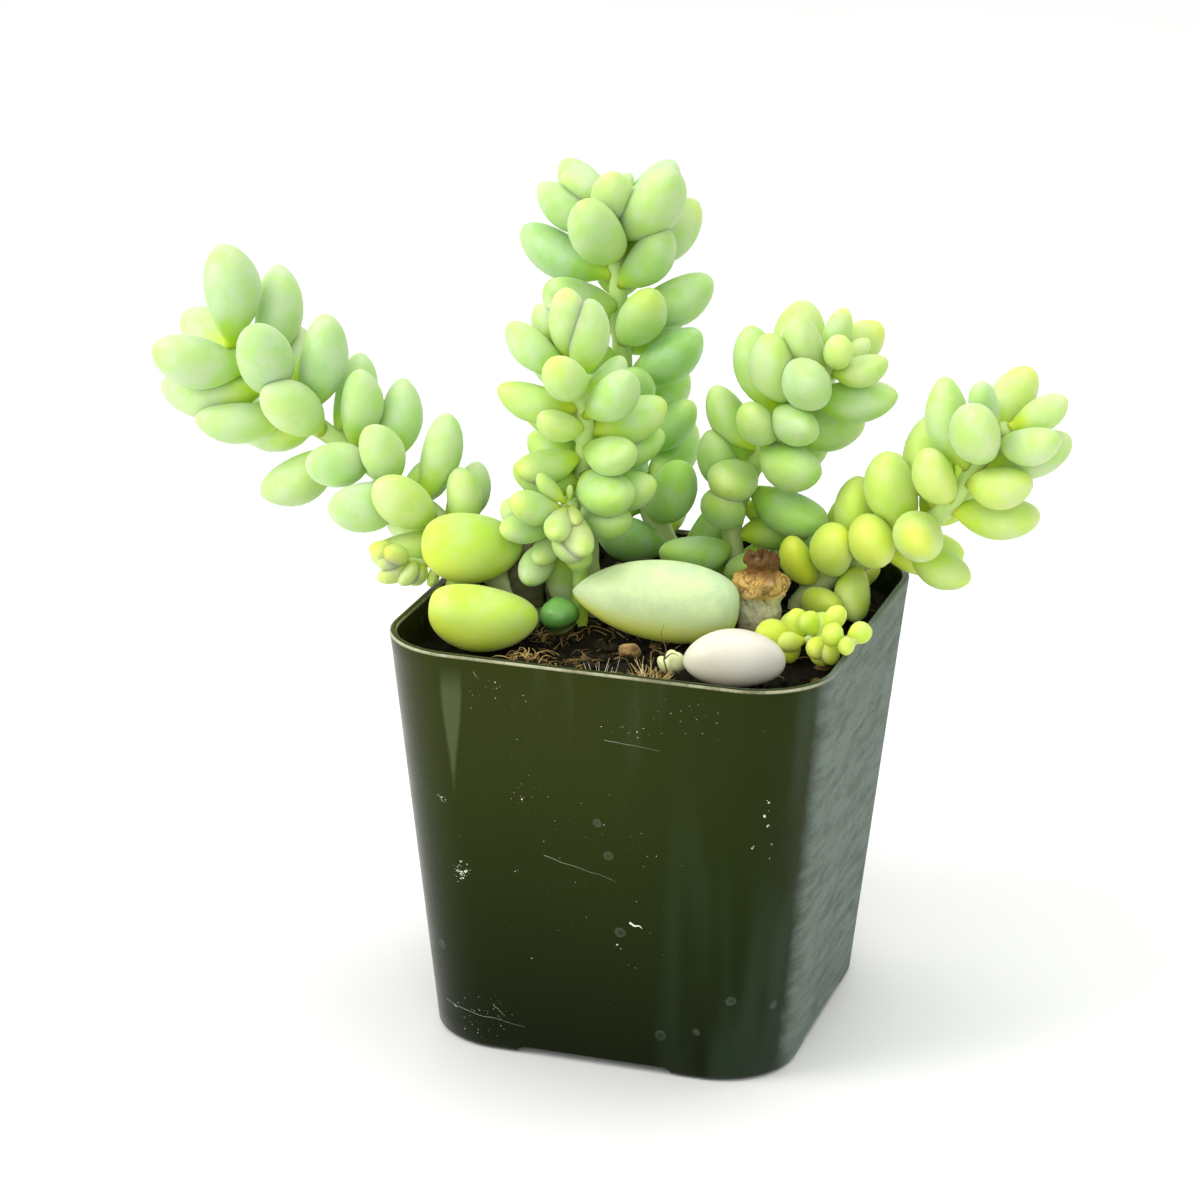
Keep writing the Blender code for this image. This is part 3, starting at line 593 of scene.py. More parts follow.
def make_plants(paints):
    """Every shoot, placed by the same rule and with the same room as its solid."""
    filled = {"standing": standing_balls()}
    for name, plan in SHOOTS.items():
        filled[name] = stem_balls(smooth_path(plan["path"]), *plan["stem"])
    for name, plan in SHOOTS.items():
        taken = np.vstack([balls for other, balls in filled.items() if other != name])
        path, leaves = grow(plan)
        found = [stem_balls(path, *plan["stem"])]
        batch = leaf_batch()
        draw = random.Random(plan["seed"] + 1)
        fine_stem(batch, path, *plan["stem"], draw)
        if name == "stem_left":
            found.append(old_growth_balls())
            add_old_growth(batch, draw)
        around = np.vstack([taken, *found[1:]])
        low, high = plan["tint"]
        old, fresh = plan["bloom"]
        last = len(leaves) - 1
        for k, leaf in enumerate(leaves):
            placed = fit_leaf(leaf, around)
            if placed is None:
                continue
            found.append(leaf_balls(placed))
            tint = low + (high - low) * k / last + draw.uniform(-TINT_STRAY, TINT_STRAY)
            bloom = old + (fresh - old) * k / last
            slim = 1 - plan["slim"] * k / last
            placed = (*placed[:4], placed[4] * slim)
            detail = SMALL_DETAIL if placed[3] < SMALL_LEAF else FINE_DETAIL
            fine_leaf(batch, placed, draw, tint, bloom, *detail)
        filled[name] = np.vstack(found)
        batch.stand_in(name, *paints)


# A loose leaf is coloured like this share of a leaf's length all over
PLUMP_SHARE = 0.55


def plump_fine(batch, plan, draw, tints, bloom=0.5, top=1.0, sides=48, ring_count=40):
    """A large loose leaf; tints is its colour at the root, at the tip and more on the underside."""
    root, tip, width, thickness, flat, form = plan
    start, toward, across, above, length = plump_axes(root, tip, flat)
    angles = angles_round(sides)
    lobe = draw.uniform(0, 6)
    rings = []
    tint = []
    under = np.maximum(0, -np.cos(angles)) ** 1.5 * tints[2]
    height = np.where(np.sin(angles) > 0, top, 1.0) * thickness / 2
    for k in range(1, ring_count):
        share = 0.5 - 0.5 * math.cos(math.pi * k / ring_count)
        swell = plump_profile(share, form)
        wobble = 1 + 0.014 * np.cos(3 * angles + lobe + 2 * share) + 0.012 * np.cos(5 * angles)
        wobble = wobble + 0.008 * np.cos(2 * angles + 9 * share + lobe)
        ring = across * (np.cos(angles) * wobble)[:, None] * width / 2
        ring = ring + above * (np.sin(angles) * wobble * height)[:, None]
        rings.append(start + plump_centre(share, toward, across, length, form) + ring * swell)
        tint.extend(tints[0] + (tints[1] - tints[0]) * share + under)
    points, faces = pointed_loft(root, rings, tip)
    batch.add(points, faces, share=PLUMP_SHARE, tint=[*tint, tints[0], tints[1]], bloom=bloom)


def walk(path, steps):
    """Share, centre, tangent and the two sides at even steps along a smooth curve."""
    curve = smooth_path(path)
    reach = np.arange(len(curve)) / (len(curve) - 1)
    tangents, sides = carried_sides(curve)
    for k in range(steps + 1):
        at = k / steps
        i = min(len(curve) - 1, round(at * (len(curve) - 1)))
        yield at, between(at, reach, curve), tangents[i], sides[i], np.cross(tangents[i], sides[i])


def turned_fine(batch, path, stations, draw, paint, sides=24, steps=60, ragged=0.03, **values):
    """A round piece along a path, finely stepped, with an uneven skin."""
    lobe = [draw.uniform(0, 6) for _ in range(4)]
    angles = angles_round(sides)
    cosines, sines = turning(sides)
    rings = []
    for at, centre, _, side, across in walk(path, steps):
        radius = smooth_between(at, *np.transpose(stations))
        rough = 1 + ragged * np.sin(3 * angles + lobe[0] + 5 * at)
        rough = rough + 0.5 * ragged * np.sin(7 * angles + lobe[1] - 17 * at)
        rough = rough + 0.4 * ragged * math.sin(70 * at + lobe[2])
        rings.append(centre + (side * cosines + across * sines) * (radius * rough)[:, None])
    points, faces = loft(rings)
    batch.add(points, faces, paint, share=np.repeat(np.arange(steps + 1) / steps, sides), **values)


def smooth_between(at, shares, radii):
    """A value between stations on a smooth curve through them."""
    slopes = np.gradient(radii, shares)
    k = int(np.clip(np.searchsorted(shares, at) - 1, 0, len(shares) - 2))
    step = shares[k + 1] - shares[k]
    t = (at - shares[k]) / step
    return ((1 + 2 * t) * (1 - t) ** 2 * radii[k] + t * (1 - t) ** 2 * step * slopes[k]
            + t * t * (3 - 2 * t) * radii[k + 1] + t * t * (t - 1) * step * slopes[k + 1])


def add_old_growth(batch, draw):
    turned_fine(batch, SPUR_PATH, SPUR_STATIONS, draw, 2, ragged=0.05)
    plump_fine(batch, blunter(LEAF_UPPER, 0.08), draw, (0.48, 0.66, 0.25), 0.42)


def blunter(plan, amount, tip_amount=0.0):
    """The same loose leaf with a blunter attached end, or a blunter tip as well."""
    widest, root_power, tip_power, sag = plan[5]
    return (*plan[:5], (widest, root_power - amount, tip_power - tip_amount, sag))


def make_loose(paints):
    for name, plan, tints, bloom, top in (
            ("leaf_soil", blunter(LEAF_SOIL, 0.20), (0.44, 0.74, 0.25), 0.36, 0.8),
            ("leaf_wide", blunter(LEAF_WIDE, -0.05), (0.24, 0.34, 0.75), 1.7, 1.0)):
        batch = leaf_batch()
        plump_fine(batch, plan, random.Random(name), tints, bloom, top)
        batch.stand_in(name, *paints)
    for name, path, stations, seed, paint, values in (
            ("cut_stub", STUB_PATH, STUB_STATIONS, 31, 0, {"tint": 0.42, "bloom": 0.35}),
            ("bulb_shoot", BULB_PATH, BULB_STATIONS, 32, 3, {})):
        batch = leaf_batch()
        turned_fine(batch, path, stations, random.Random(seed), paint, ragged=0.012, **values)
        batch.stand_in(name, *paints)


def make_pale(paint):
    batch = leaf_batch()
    plump_fine(batch, blunter(PALE_LEAF, 0.1, 0.12), random.Random(41), (0.10, 0.0, 0.0))
    batch.stand_in("pale_leaf", paint)
    batch = leaf_batch()
    draw = random.Random(42)
    for root, toward, along, length, width in plantlet_leaves():
        leaf = (root, toward, along, length * PLANTLET_LONGER, width * PLANTLET_WIDER)
        fine_leaf(batch, leaf, draw, 0.4, 1.0, *PLANTLET_DETAIL)
    batch.stand_in("plantlet", paint)


STUMP_SIDES = 40
STUMP_STEPS = 90
# Shares of the stump's height where its wrinkles begin and where its broken edge begins
WRINKLED_FROM = 0.62
BROKEN_FROM = 0.9
BROKEN_SPAN = 0.1
RAGGED_RISE = 0.8
# Depth of the wrinkles at the foot, and how much deeper they get above
WRINKLE = 0.02
DEEPER = 0.08
# The hollow of the broken top: width of each ring as a share of the edge, and its depth
HOLLOW = ((0.8, 0.05), (0.62, 0.5), (0.4, 1.1), (0.12, 1.3))


def round_noise(angles, size, at):
    """Noise on a circle of a given size, at a given height."""
    return np.array([noise.noise(Vector((size * math.cos(a), size * math.sin(a), at))) for a in angles])


def make_stump_fine(paint):
    """A broken stem: grey papery foot, a wrinkled tan bulge and a ragged hollow top."""
    angles = angles_round(STUMP_SIDES)
    cosines, sines = turning(STUMP_SIDES)
    rings = []
    values = []
    for at, centre, tangent, side, across in walk(STUMP_PATH, STUMP_STEPS):
        radius = smooth_between(at, *np.transpose(STUMP_STATIONS))
        wrinkle = WRINKLE + DEEPER * min(1, max(0, at - WRINKLED_FROM) * 8)
        rough = round_noise(angles, 2.2, 14 * at) + 0.6 * round_noise(angles, 6, 26 * at)
        rise = max(0.0, RAGGED_RISE * (at - BROKEN_FROM) / BROKEN_SPAN)
        lift = rise * round_noise(angles, 3.1, 9.0)
        rings.append(centre + (side * cosines + across * sines)
                     * (radius * (1 + wrinkle * 2.2 * rough))[:, None] + np.outer(lift, tangent))
        values.append(at)
    # The hollow sinks from the middle of the last ring
    top = rings[-1]
    middle = top.mean(axis=0)
    for inward, down in HOLLOW:
        rings.append(middle + (top - middle) * inward - down * tangent)
        values.append(1.0 + down)
    batch = Batch("share")
    batch.add(*loft(rings), share=np.repeat(values, STUMP_SIDES))
    batch.stand_in("stump", paint)


# Dried mineral specks on the front wall: x, height, spread across, spread up, number, size
SPECKS = (
    (-17.0, 24.8, 0.9, 1.1, 46, 0.10), (-19.0, 34.7, 0.7, 0.5, 7, 0.08), (-8.4, 35.5, 0.9, 3.0, 9, 0.09),
    (3.9, 47.0, 2.6, 1.8, 12, 0.07), (20.4, 32.9, 0.4, 0.4, 4, 0.13), (22.3, 36.0, 0.6, 3.6, 9, 0.13),
    (3.6, 17.0, 0.3, 0.3, 3, 0.13), (-15.0, 4.5, 4.0, 3.4, 60, 0.055), (0.0, 28.0, 14.0, 14.0, 90, 0.05),
    (-12.0, 50.0, 5.0, 2.0, 22, 0.06), (12.0, 49.0, 7.0, 3.5, 36, 0.055),
)
# Thin pale scratches on the front wall: two ends as x, height
SCRATCHES = (
    ((-20.0, 34.9), (-19.2, 34.2)), ((-19.6, 34.2), (-18.9, 34.0)), ((-14.6, 52.4), (-14.0, 51.6)),
    ((-6.0, 28.6), (3.4, 26.3)), ((-20.2, 5.2), (-9.0, 3.9)), ((-13.2, 6.4), (-11.6, 4.9)),
    ((2.0, 45.4), (9.0, 45.0)),
)
FLECK = ((5.0, 20.9), (5.6, 20.5), (6.2, 20.6), (6.6, 20.3))
SPECK_SIDES = 7
# Specks stay clear of the wall's ends, its foot and its rim
SPECK_REACH = 25.5
SPECK_LOWEST = 1.0
SPECK_HIGHEST = 53.0
# How far specks scatter in their group, stand out and reach into the wall
SPECK_SCATTER = 0.6
SPECK_THICK = 0.3
SPECK_SUNK = 0.03
SCRATCH_STEPS = 8
SCRATCH_RADIUS = 0.045
SCRATCH_STRAY = 0.12
FLECK_RADIUS = 0.16


def front_wall(x, height, out=0.0):
    """A point on the outside of the front wall or of its rounded ends."""
    half = outer_half(height)
    over = max(0.0, abs(x) - (half - POT_CORNER))
    drop = POT_CORNER - math.sqrt(max(POT_CORNER ** 2 - over ** 2, 0.0))
    return np.array([x, -half + drop - out, height])


def make_specks(paint):
    """Lime specks, a fleck and scratches that stand a hair above the plastic."""
    draw = random.Random(77)
    batch = Batch("share")
    cosines, sines = turning(SPECK_SIDES)
    for at_x, at_z, wide, tall, count, size in SPECKS:
        for _ in range(count):
            x = at_x + draw.gauss(0, SPECK_SCATTER) * wide
            z = at_z + draw.gauss(0, SPECK_SCATTER) * tall
            grain = size * (0.5 + 1.3 * draw.random() ** 2)
            if abs(x) > SPECK_REACH or not SPECK_LOWEST < z < SPECK_HIGHEST:
                continue
            middle = front_wall(x, z)
            rough = np.array([[draw.uniform(0.7, 1.3)] for _ in range(SPECK_SIDES)])
            base = middle + (cosines * (1, 0, 0) + sines * (0, 0, 1)) * rough * grain
            top = middle + (0, -SPECK_THICK * grain, 0) + (base - middle) * 0.5
            batch.add(*loft([base + (0, SPECK_SUNK, 0), top]), share=draw.random())
    for start, end in SCRATCHES:
        points = []
        for k in range(SCRATCH_STEPS + 1):
            t = k / SCRATCH_STEPS
            x = start[0] + (end[0] - start[0]) * t
            z = start[1] + (end[1] - start[1]) * t + SCRATCH_STRAY * draw.uniform(-1, 1)
            points.append(front_wall(x, z, 0.01))
        strand(batch, points, SCRATCH_RADIUS, 0, 4, share=0.1)
    strand(batch, [front_wall(x, z, 0.05) for x, z in FLECK], FLECK_RADIUS, 0, 6, share=1.0)
    batch.make("pot_specks", [paint], SLOTS["pot"])


CORNER_STEPS = 14
# Heights near the foot and how far the softened edge is drawn in there
FOOT_EDGE = ((0.0, 0.55), (0.08, 0.3), (0.25, 0.12), (0.55, 0.0))
WALL_STEPS = 24
RIM_ROLL = 0.4
RIM_TURNS = (0, 22, 45, 67, 90, 113, 135, 158, 180)
INSIDE_STEPS = 5
# Outline of the channel under each wall, in shares of its width and height
NOTCH_OUTLINE = ((-0.5, -1.0), (0.5, -1.0), (0.45, 0.72), (0.42, 1.0), (-0.42, 1.0), (-0.45, 0.72))
SHARP_ANGLE = math.radians(35)


def make_pot_fine(paint):
    """The pot with rounder corners, a rolled rim edge and softened edges at the foot."""
    rings = [(outer_half(height) - inset, POT_CORNER - inset, height) for height, inset in FOOT_EDGE]
    foot = FOOT_EDGE[-1][0]
    for step in range(1, WALL_STEPS):
        height = foot + (POT_HEIGHT - foot - RIM_ROLL) * step / WALL_STEPS
        rings.append((outer_half(height), POT_CORNER, height))
    middle = outer_half(POT_HEIGHT) - POT_WALL / 2
    for angle in np.radians(RIM_TURNS):
        out = POT_WALL / 2 * math.cos(angle)
        rings.append((middle + out, POT_CORNER - POT_WALL / 2 + out,
                      POT_HEIGHT - RIM_ROLL + RIM_ROLL * math.sin(angle)))
    for step in range(1, INSIDE_STEPS + 1):
        height = POT_HEIGHT - RIM_ROLL - (POT_HEIGHT - RIM_ROLL - POT_FLOOR) * step / INSIDE_STEPS
        rings.append((inner_half(height), POT_CORNER - POT_WALL, height))
    batch = Batch()
    batch.add(*loft([square_ring(*ring) for ring in rings]))
    cut_foot(batch.stand_in("pot", paint))


def square_ring(half, corner, height, steps=CORNER_STEPS, side_points=9):
    """A square with rounded corners, counter-clockwise."""
    reach = half - corner
    spots = []
    for k in range(steps + 1):
        angle = k / steps * math.pi / 2
        spots.append((reach + corner * math.cos(angle), reach + corner * math.sin(angle), height))
    for k in range(side_points):
        spots.append((reach - (k + 1) / (side_points + 1) * 2 * reach, half, height))
    return np.vstack([about_z(spots, quarter * math.pi / 2) for quarter in range(4)])


def cut_foot(pot):
    """Cuts the four channels and drain holes under the floor."""
    group = bpy.data.collections.new("foot_cutters")
    made = []
    for quarter in range(4):
        turn = quarter * math.pi / 2
        channel = [about_z([(x * NOTCH_WIDTH, y, z * NOTCH_HEIGHT) for x, z in NOTCH_OUTLINE], turn)
                   for y in (-POT_TOP_HALF, -POT_BOTTOM_HALF + NOTCH_DEPTH)]
        made.append(put("cutter", closed_mesh("cutter", *loft(channel))))
        x = DRAIN_OFFSET * math.sin(turn)
        y = -DRAIN_OFFSET * math.cos(turn)
        cosines, sines = turning(DRAIN_SIDES)
        low = np.hstack([x + DRAIN_RADIUS * cosines, y + DRAIN_RADIUS * sines,
                         np.full((DRAIN_SIDES, 1), -1.0)])
        high = low + (0, 0, POT_FLOOR + 2)
        made.append(put("cutter", closed_mesh("cutter", *loft([low, high]))))
    for item in made:
        group.objects.link(item)
    step = pot.modifiers.new("foot", "BOOLEAN")
    step.operation = "DIFFERENCE"
    step.operand_type = "COLLECTION"
    step.collection = group
    step.solver = "EXACT"
    graph = bpy.context.evaluated_depsgraph_get()
    graph.update()
    mesh = bpy.data.meshes.new_from_object(pot.evaluated_get(graph))
    pot.modifiers.clear()
    pot.data = mesh
    mesh.shade_smooth()
    mesh.set_sharp_from_angle(angle=SHARP_ANGLE)
    for item in made:
        bpy.data.objects.remove(item, do_unlink=True)
    bpy.data.collections.remove(group)


# Soil: rings from its edge to its middle, and its clods with the share that is pale bark
SOIL_RINGS = 46
EDGE_GAP = 0.05
CLODS = 520
CLOD_LEAST = 0.25
CLOD_RANGE = 0.75
CLOD_REACH = 26
CLOD_STRAIGHT = 17.5
CLOD_CORNER = 8.2
BARK_SHARE = 0.05


def soil_bumps(x, y):
    """Fine relief of the soil surface."""
    spot = Vector((x * 0.55, y * 0.55, 3.0))
    fine = Vector((x * 1.9, y * 1.9, 7.0))
    return 0.55 * noise.noise(spot) + 0.4 * noise.noise(fine) + 0.15 * noise.noise(fine * 2.3)


def make_soil_fine(paints):
    """Crumbly soil with clods, bits of bark and dry fibres, in one piece with its filling."""
    corner = POT_CORNER - POT_WALL - GAP
    floor = POT_FLOOR + GAP
    loops = [square_ring(inner_half(floor) - GAP, corner, floor, 8, 16)]
    edge = square_ring(inner_half(SOIL_LEVEL) - EDGE_GAP, corner, SOIL_LEVEL, 8, 16)
    for step in range(SOIL_RINGS):
        ring = edge.copy()
        ring[:, :2] *= 1 - step / SOIL_RINGS
        height = soil_height(ring[:, 0], ring[:, 1])
        bumps = np.array([soil_bumps(x, y) for x, y in ring[:, :2]])
        ring[:, 2] = height + bumps * min(1, 0.3 + step / 3)
        loops.append(ring)
    batch = Batch("share", "tint")
    batch.add(*loft(loops))
    draw = random.Random(5)
    sphere, skin = ball_skin(2)
    for _ in range(CLODS):
        x, y = draw.uniform(-CLOD_REACH, CLOD_REACH), draw.uniform(-CLOD_REACH, CLOD_REACH)
        size = CLOD_LEAST + CLOD_RANGE * draw.random() ** 2.5
        beyond = math.hypot(max(0, abs(x) - CLOD_STRAIGHT), max(0, abs(y) - CLOD_STRAIGHT))
        if max(abs(x), abs(y)) > inner_half(SOIL_LEVEL) - size or beyond > CLOD_CORNER - size:
            continue
        z = soil_height(x, y) + size * 0.35 + 0.2
        stretch = np.array([draw.uniform(0.75, 1.3), draw.uniform(0.75, 1.3), draw.uniform(0.5, 0.9)])
        shift = Vector((draw.uniform(0, 99), 0, 0))
        rough = 1 + 0.45 * lumps(sphere, 1.3, shift) + 0.2 * lumps(sphere, 3, shift)
        spots = sphere * stretch * rough[:, None] * size + (x, y, z)
        batch.add(spots, skin, share=draw.random() * 0.6, tint=float(draw.random() < BARK_SHARE))
    add_fibres(batch, draw)
    batch.stand_in("soil", *paints)


def ball_skin(subdivisions):
    """Points and faces of a round ball of radius 1."""
    ball = bmesh.new()
    bmesh.ops.create_icosphere(ball, subdivisions=subdivisions, radius=1.0)
    points = np.array([vert.co[:] for vert in ball.verts])
    faces = [[vert.index for vert in face.verts] for face in ball.faces]
    ball.free()
    return points, faces


def lumps(points, scale, shift=Vector()):
    """Noise at the points."""
    return np.array([noise.noise(Vector(point) * scale + shift) for point in points])


def strand(batch, points, radius, paint=1, sides=5, **values):
    """A thin tapering fibre through the points."""
    path = smooth_path(points)[::2]
    last = len(path) - 1
    radii = [radius * (1 - 0.75 * i / last) for i in range(last + 1)]
    batch.add(*tube(path, radii, sides), paint, **values)


# Tufts of dry roots: x, y, spread, number, length, rise and how pale they are
TUFTS = (
    (-12.0, -16.8, 1.0, 34, 3.4, 2.4, 0.35), (-10.5, -19.5, 1.8, 40, 2.6, 0.9, 0.2),
    (5.2, -20.2, 0.9, 90, 3.4, 3.2, 0.48), (0.2, -23.2, 0.9, 16, 2.0, 4.6, 0.95),
    (-24.2, -22.4, 0.6, 9, 2.0, 3.6, 0.9), (-6.0, -15.0, 2.6, 60, 2.6, 0.9, 0.1),
    (-11.0, -8.5, 1.8, 40, 2.4, 1.6, 0.05), (0.0, 0.0, 12.0, 150, 3.4, 0.6, 0.15),
)
# Tufts paler than this rise straight, and the darker ones bend over
STRAIGHT_PALE = 0.45
STRAIGHT_BEND = 0.12
LOOSE_BEND = 0.3
# A tuft is less deep than it is wide, and fibres keep clear of the wall
TUFT_DEPTH = 0.7
FIBRE_GAP = 0.5
FIBRE_RADII = (0.05, 0.11)
# Dark aerial roots that curl up beside the plantlet
HAIR_ROOTS = (
    ((7.2, -17.6, 50.4), (6.6, -18.2, 53.0), (6.9, -18.4, 54.6), (6.2, -18.2, 56.4), (6.5, -18.0, 57.8)),
    ((6.6, -18.2, 53.2), (7.6, -18.5, 54.2), (8.4, -18.2, 53.9)),
    ((6.7, -18.3, 53.9), (5.6, -18.6, 54.4), (4.9, -18.5, 53.8)),
)


def add_fibres(batch, draw):
    """Dry roots and coir: thin strands over the soil, denser in a few tufts by the front wall."""
    limit = inner_half(SOIL_LEVEL) - FIBRE_GAP
    for at_x, at_y, wide, count, length, rise, pale in TUFTS:
        straight = pale > STRAIGHT_PALE
        bend = STRAIGHT_BEND if straight else LOOSE_BEND
        for _ in range(count):
            x = at_x + draw.gauss(0, 1) * wide
            y = at_y + draw.gauss(0, 1) * wide * TUFT_DEPTH
            turn = draw.uniform(0, 2 * math.pi)
            reach = length * draw.uniform(0.4, 1.0)
            lift = rise * draw.uniform(0.2, 1.0)
            points = []
            for k in range(4):
                t = k / 3
                px = x + reach * t * math.cos(turn) + bend * draw.uniform(-1, 1)
                py = y + reach * t * math.sin(turn) + bend * draw.uniform(-1, 1)
                px = max(-limit, min(limit, px))
                py = max(-limit, min(limit, py))
                rise_here = t if straight else math.sin(math.pi * (0.12 + 0.6 * t))
                pz = soil_height(px, py) + lift * rise_here + 0.05
                points.append((px, py, pz))
            tone = min(1.0, max(0.0, pale + draw.uniform(-0.2, 0.25)))
            strand(batch, points, draw.uniform(*FIBRE_RADII), 1, share=tone)
    for points in HAIR_ROOTS:
        strand(batch, points, max(FIBRE_RADII), 1, 6, share=0.02)


def make_chunk_fine(paint):
    points, faces = ball_skin(4)
    grown = 0.94 + 0.22 * lumps(points, 1.6, Vector((4, 2, 9))) + 0.1 * lumps(points, 5)
    batch = Batch("share")
    batch.add(points * CHUNK_HALF * grown[:, None] + CHUNK_AT, faces, share=0.5)
    batch.stand_in("bark_chunk", paint)


# ---------------------------------------------------------------- materials


def fill_band(band, stops):
    """Sets a colour band to stops of (place, colour)."""
    while len(band) < len(stops):
        band.new(0.5)
    for element, (at, colour) in zip(band, stops):
        element.position = at
        element.color = (*colour, 1.0)


class Paint:
    """A Principled material and short ways to add nodes to it."""

    def __init__(self, name, **settings):
        self.material = bpy.data.materials.new(name)
        self.material.use_nodes = True
        self.tree = self.material.node_tree
        self.shader = self.tree.nodes["Principled BSDF"]
        for key, value in settings.items():
            self.shader.inputs[key.replace("_", " ")].default_value = value

    def node(self, kind, **inputs):
        made = self.tree.nodes.new(kind)
        for key, value in inputs.items():
            self.plug(made.inputs[key.replace("_", " ")], value)
        return made

    def plug(self, socket, value):
        if hasattr(value, "is_output"):
            self.tree.links.new(value, socket)
        else:
            socket.default_value = value

    def place(self, scale=(1, 1, 1)):
        coords = self.tree.nodes.new("ShaderNodeTexCoord")
        mapping = self.node("ShaderNodeMapping", Vector=coords.outputs["Object"], Scale=scale)
        return mapping.outputs["Vector"]

    def speckle(self, scale, detail=3.0, rough=0.5, at=None, distortion=0.0):
        made = self.node("ShaderNodeTexNoise", Vector=at or self.place(), Scale=scale,
                         Detail=detail, Roughness=rough, Distortion=distortion)
        return made.outputs["Fac"]

    def value(self, name):
        made = self.tree.nodes.new("ShaderNodeAttribute")
        made.attribute_name = name
        return made.outputs["Fac"]

    def math(self, operation, a, b=0.0, c=0.0, clamp=False):
        made = self.tree.nodes.new("ShaderNodeMath")
        made.operation = operation
        made.use_clamp = clamp
        for socket, value in zip(made.inputs, (a, b, c)):
            self.plug(socket, value)
        return made.outputs[0]

    def times(self, a, b, clamp=False):
        return self.math("MULTIPLY", a, b, clamp=clamp)

    def plus(self, a, b, clamp=False):
        return self.math("ADD", a, b, clamp=clamp)

    def minus(self, a, b, clamp=False):
        return self.math("SUBTRACT", a, b, clamp=clamp)

    def varied(self, value, amount, start, clamp=False):
        """The start plus an amount of the value."""
        return self.math("MULTIPLY_ADD", value, amount, start, clamp=clamp)

    def ramp(self, value, low, high, out_low=0.0, out_high=1.0):
        made = self.node("ShaderNodeMapRange", Value=value, From_Min=low, From_Max=high,
                         To_Min=out_low, To_Max=out_high)
        made.interpolation_type = "SMOOTHSTEP"
        return made.outputs["Result"]

    def colours(self, value, *stops):
        made = self.node("ShaderNodeValToRGB", Fac=value)
        fill_band(made.color_ramp.elements, stops)
        return made.outputs["Color"]

    def mix(self, share, a, b, kind="MIX"):
        made = self.tree.nodes.new("ShaderNodeMix")
        made.data_type = "RGBA"
        made.blend_type = kind
        for socket, value in ((made.inputs[0], share), (made.inputs[6], a), (made.inputs[7], b)):
            self.plug(socket, (*value, 1.0) if isinstance(value, tuple) else value)
        return made.outputs[2]

    def done(self, colour, relief=None, strength=0.0, distance=0.0):
        """The finished material with this colour and relief."""
        self.plug(self.shader.inputs["Base Color"], colour)
        if relief is not None:
            made = self.node("ShaderNodeBump", Height=relief, Strength=strength, Distance=distance)
            self.plug(self.shader.inputs["Normal"], made.outputs["Normal"])
        return self.material


def soft(weight, scale, radius):
    """Settings for light that spreads under the skin of a fleshy leaf."""
    return {"Subsurface_Weight": weight, "Subsurface_Scale": scale, "Subsurface_Radius": radius}


def plain_paint(name, grain, spread, stops, bump=(), **settings):
    """A material whose colours run along the piece, or through its grain if spread is 0.

    grain is the scale, detail and roughness of the noise, and spread is how far it shifts the
    colours; bump is the strength and distance of the relief.
    """
    paint = Paint(name, **settings)
    rough = paint.speckle(*grain)
    at = paint.varied(rough, spread, paint.value("share"), clamp=True) if spread else rough
    relief = (rough, *bump) if bump else ()
    return paint.done(paint.colours(at, *stops), *relief)


def leaf_paint():
    """Fleshy green skin under a pale bloom, which is thin at the leaf's base, partly as painted shade
    between the leaves, and worn in patches.
    """
    paint = Paint("leaf_skin", Roughness=0.5, Sheen_Weight=0.12, Sheen_Roughness=0.5,
                  Sheen_Tint=(0.9, 1.0, 0.8, 1.0), **soft(0.6, 0.0045, (0.8, 1.0, 0.15)))
    share = paint.value("share")
    tint = paint.value("tint")
    patch = paint.speckle(150.0, 2.0)
    base = paint.ramp(share, 0.0, 0.5, 0.34, 0.0)
    tip = paint.times(paint.ramp(share, 0.70, 1.0), paint.ramp(paint.value("patch"), 0.6, 1.0, 0.0, 0.24))
    mottle = paint.varied(patch, 0.4, -0.2)
    total = paint.plus(paint.plus(tint, base), paint.plus(tip, mottle), clamp=True)
    flesh = paint.colours(
        total, (0.0, (0.22, 0.53, 0.04)), (0.3, (0.35, 0.64, 0.04)), (0.55, (0.49, 0.71, 0.035)),
        (0.8, (0.60, 0.74, 0.03)), (1.0, (0.70, 0.77, 0.02)))
    waxy = paint.colours(
        total, (0.0, (0.44, 0.62, 0.40)), (0.3, (0.52, 0.65, 0.375)), (0.55, (0.59, 0.70, 0.29)),
        (0.8, (0.65, 0.73, 0.16)), (1.0, (0.72, 0.76, 0.06)))
    # Partly painted shade: the bloom thins towards each leaf's base and on a shoot's lower leaves, so
    # that the darker, more saturated flesh stands for the shade between crowded leaves
    bloom = paint.times(paint.ramp(share, 0.05, 0.55, 0.12, 0.80), paint.value("bloom"))
    worn = paint.ramp(paint.speckle(330.0, 4.0, 0.6), 0.35, 0.65, -0.22, 0.22)
    skin = paint.mix(paint.plus(bloom, worn, clamp=True), flesh, waxy)
    # A bloom above 1 is thick enough to whiten the skin in clouds
    thick = paint.times(paint.minus(paint.value("bloom"), 1.0, clamp=True),
                        paint.ramp(paint.speckle(150.0, 6.0, 0.7), 0.38, 0.58, 0.2, 1.5))
    thick = paint.times(thick, paint.ramp(total, 0.3, 0.75, 1.0, 0.0), clamp=True)
    return paint.done(paint.mix(thick, skin, (0.63, 0.77, 0.41)), paint.speckle(900.0, 3.0), 0.10, 0.0004)


def stem_paint():
    return plain_paint(
        "stem_skin", (300.0, 4.0), 0.35,
        ((0.15, (0.30, 0.28, 0.16)), (0.4, (0.40, 0.46, 0.20)), (0.8, (0.52, 0.70, 0.24))),
        (0.3, 0.0005), Roughness=0.5, **soft(0.25, 0.002, (0.8, 1.0, 0.3)))


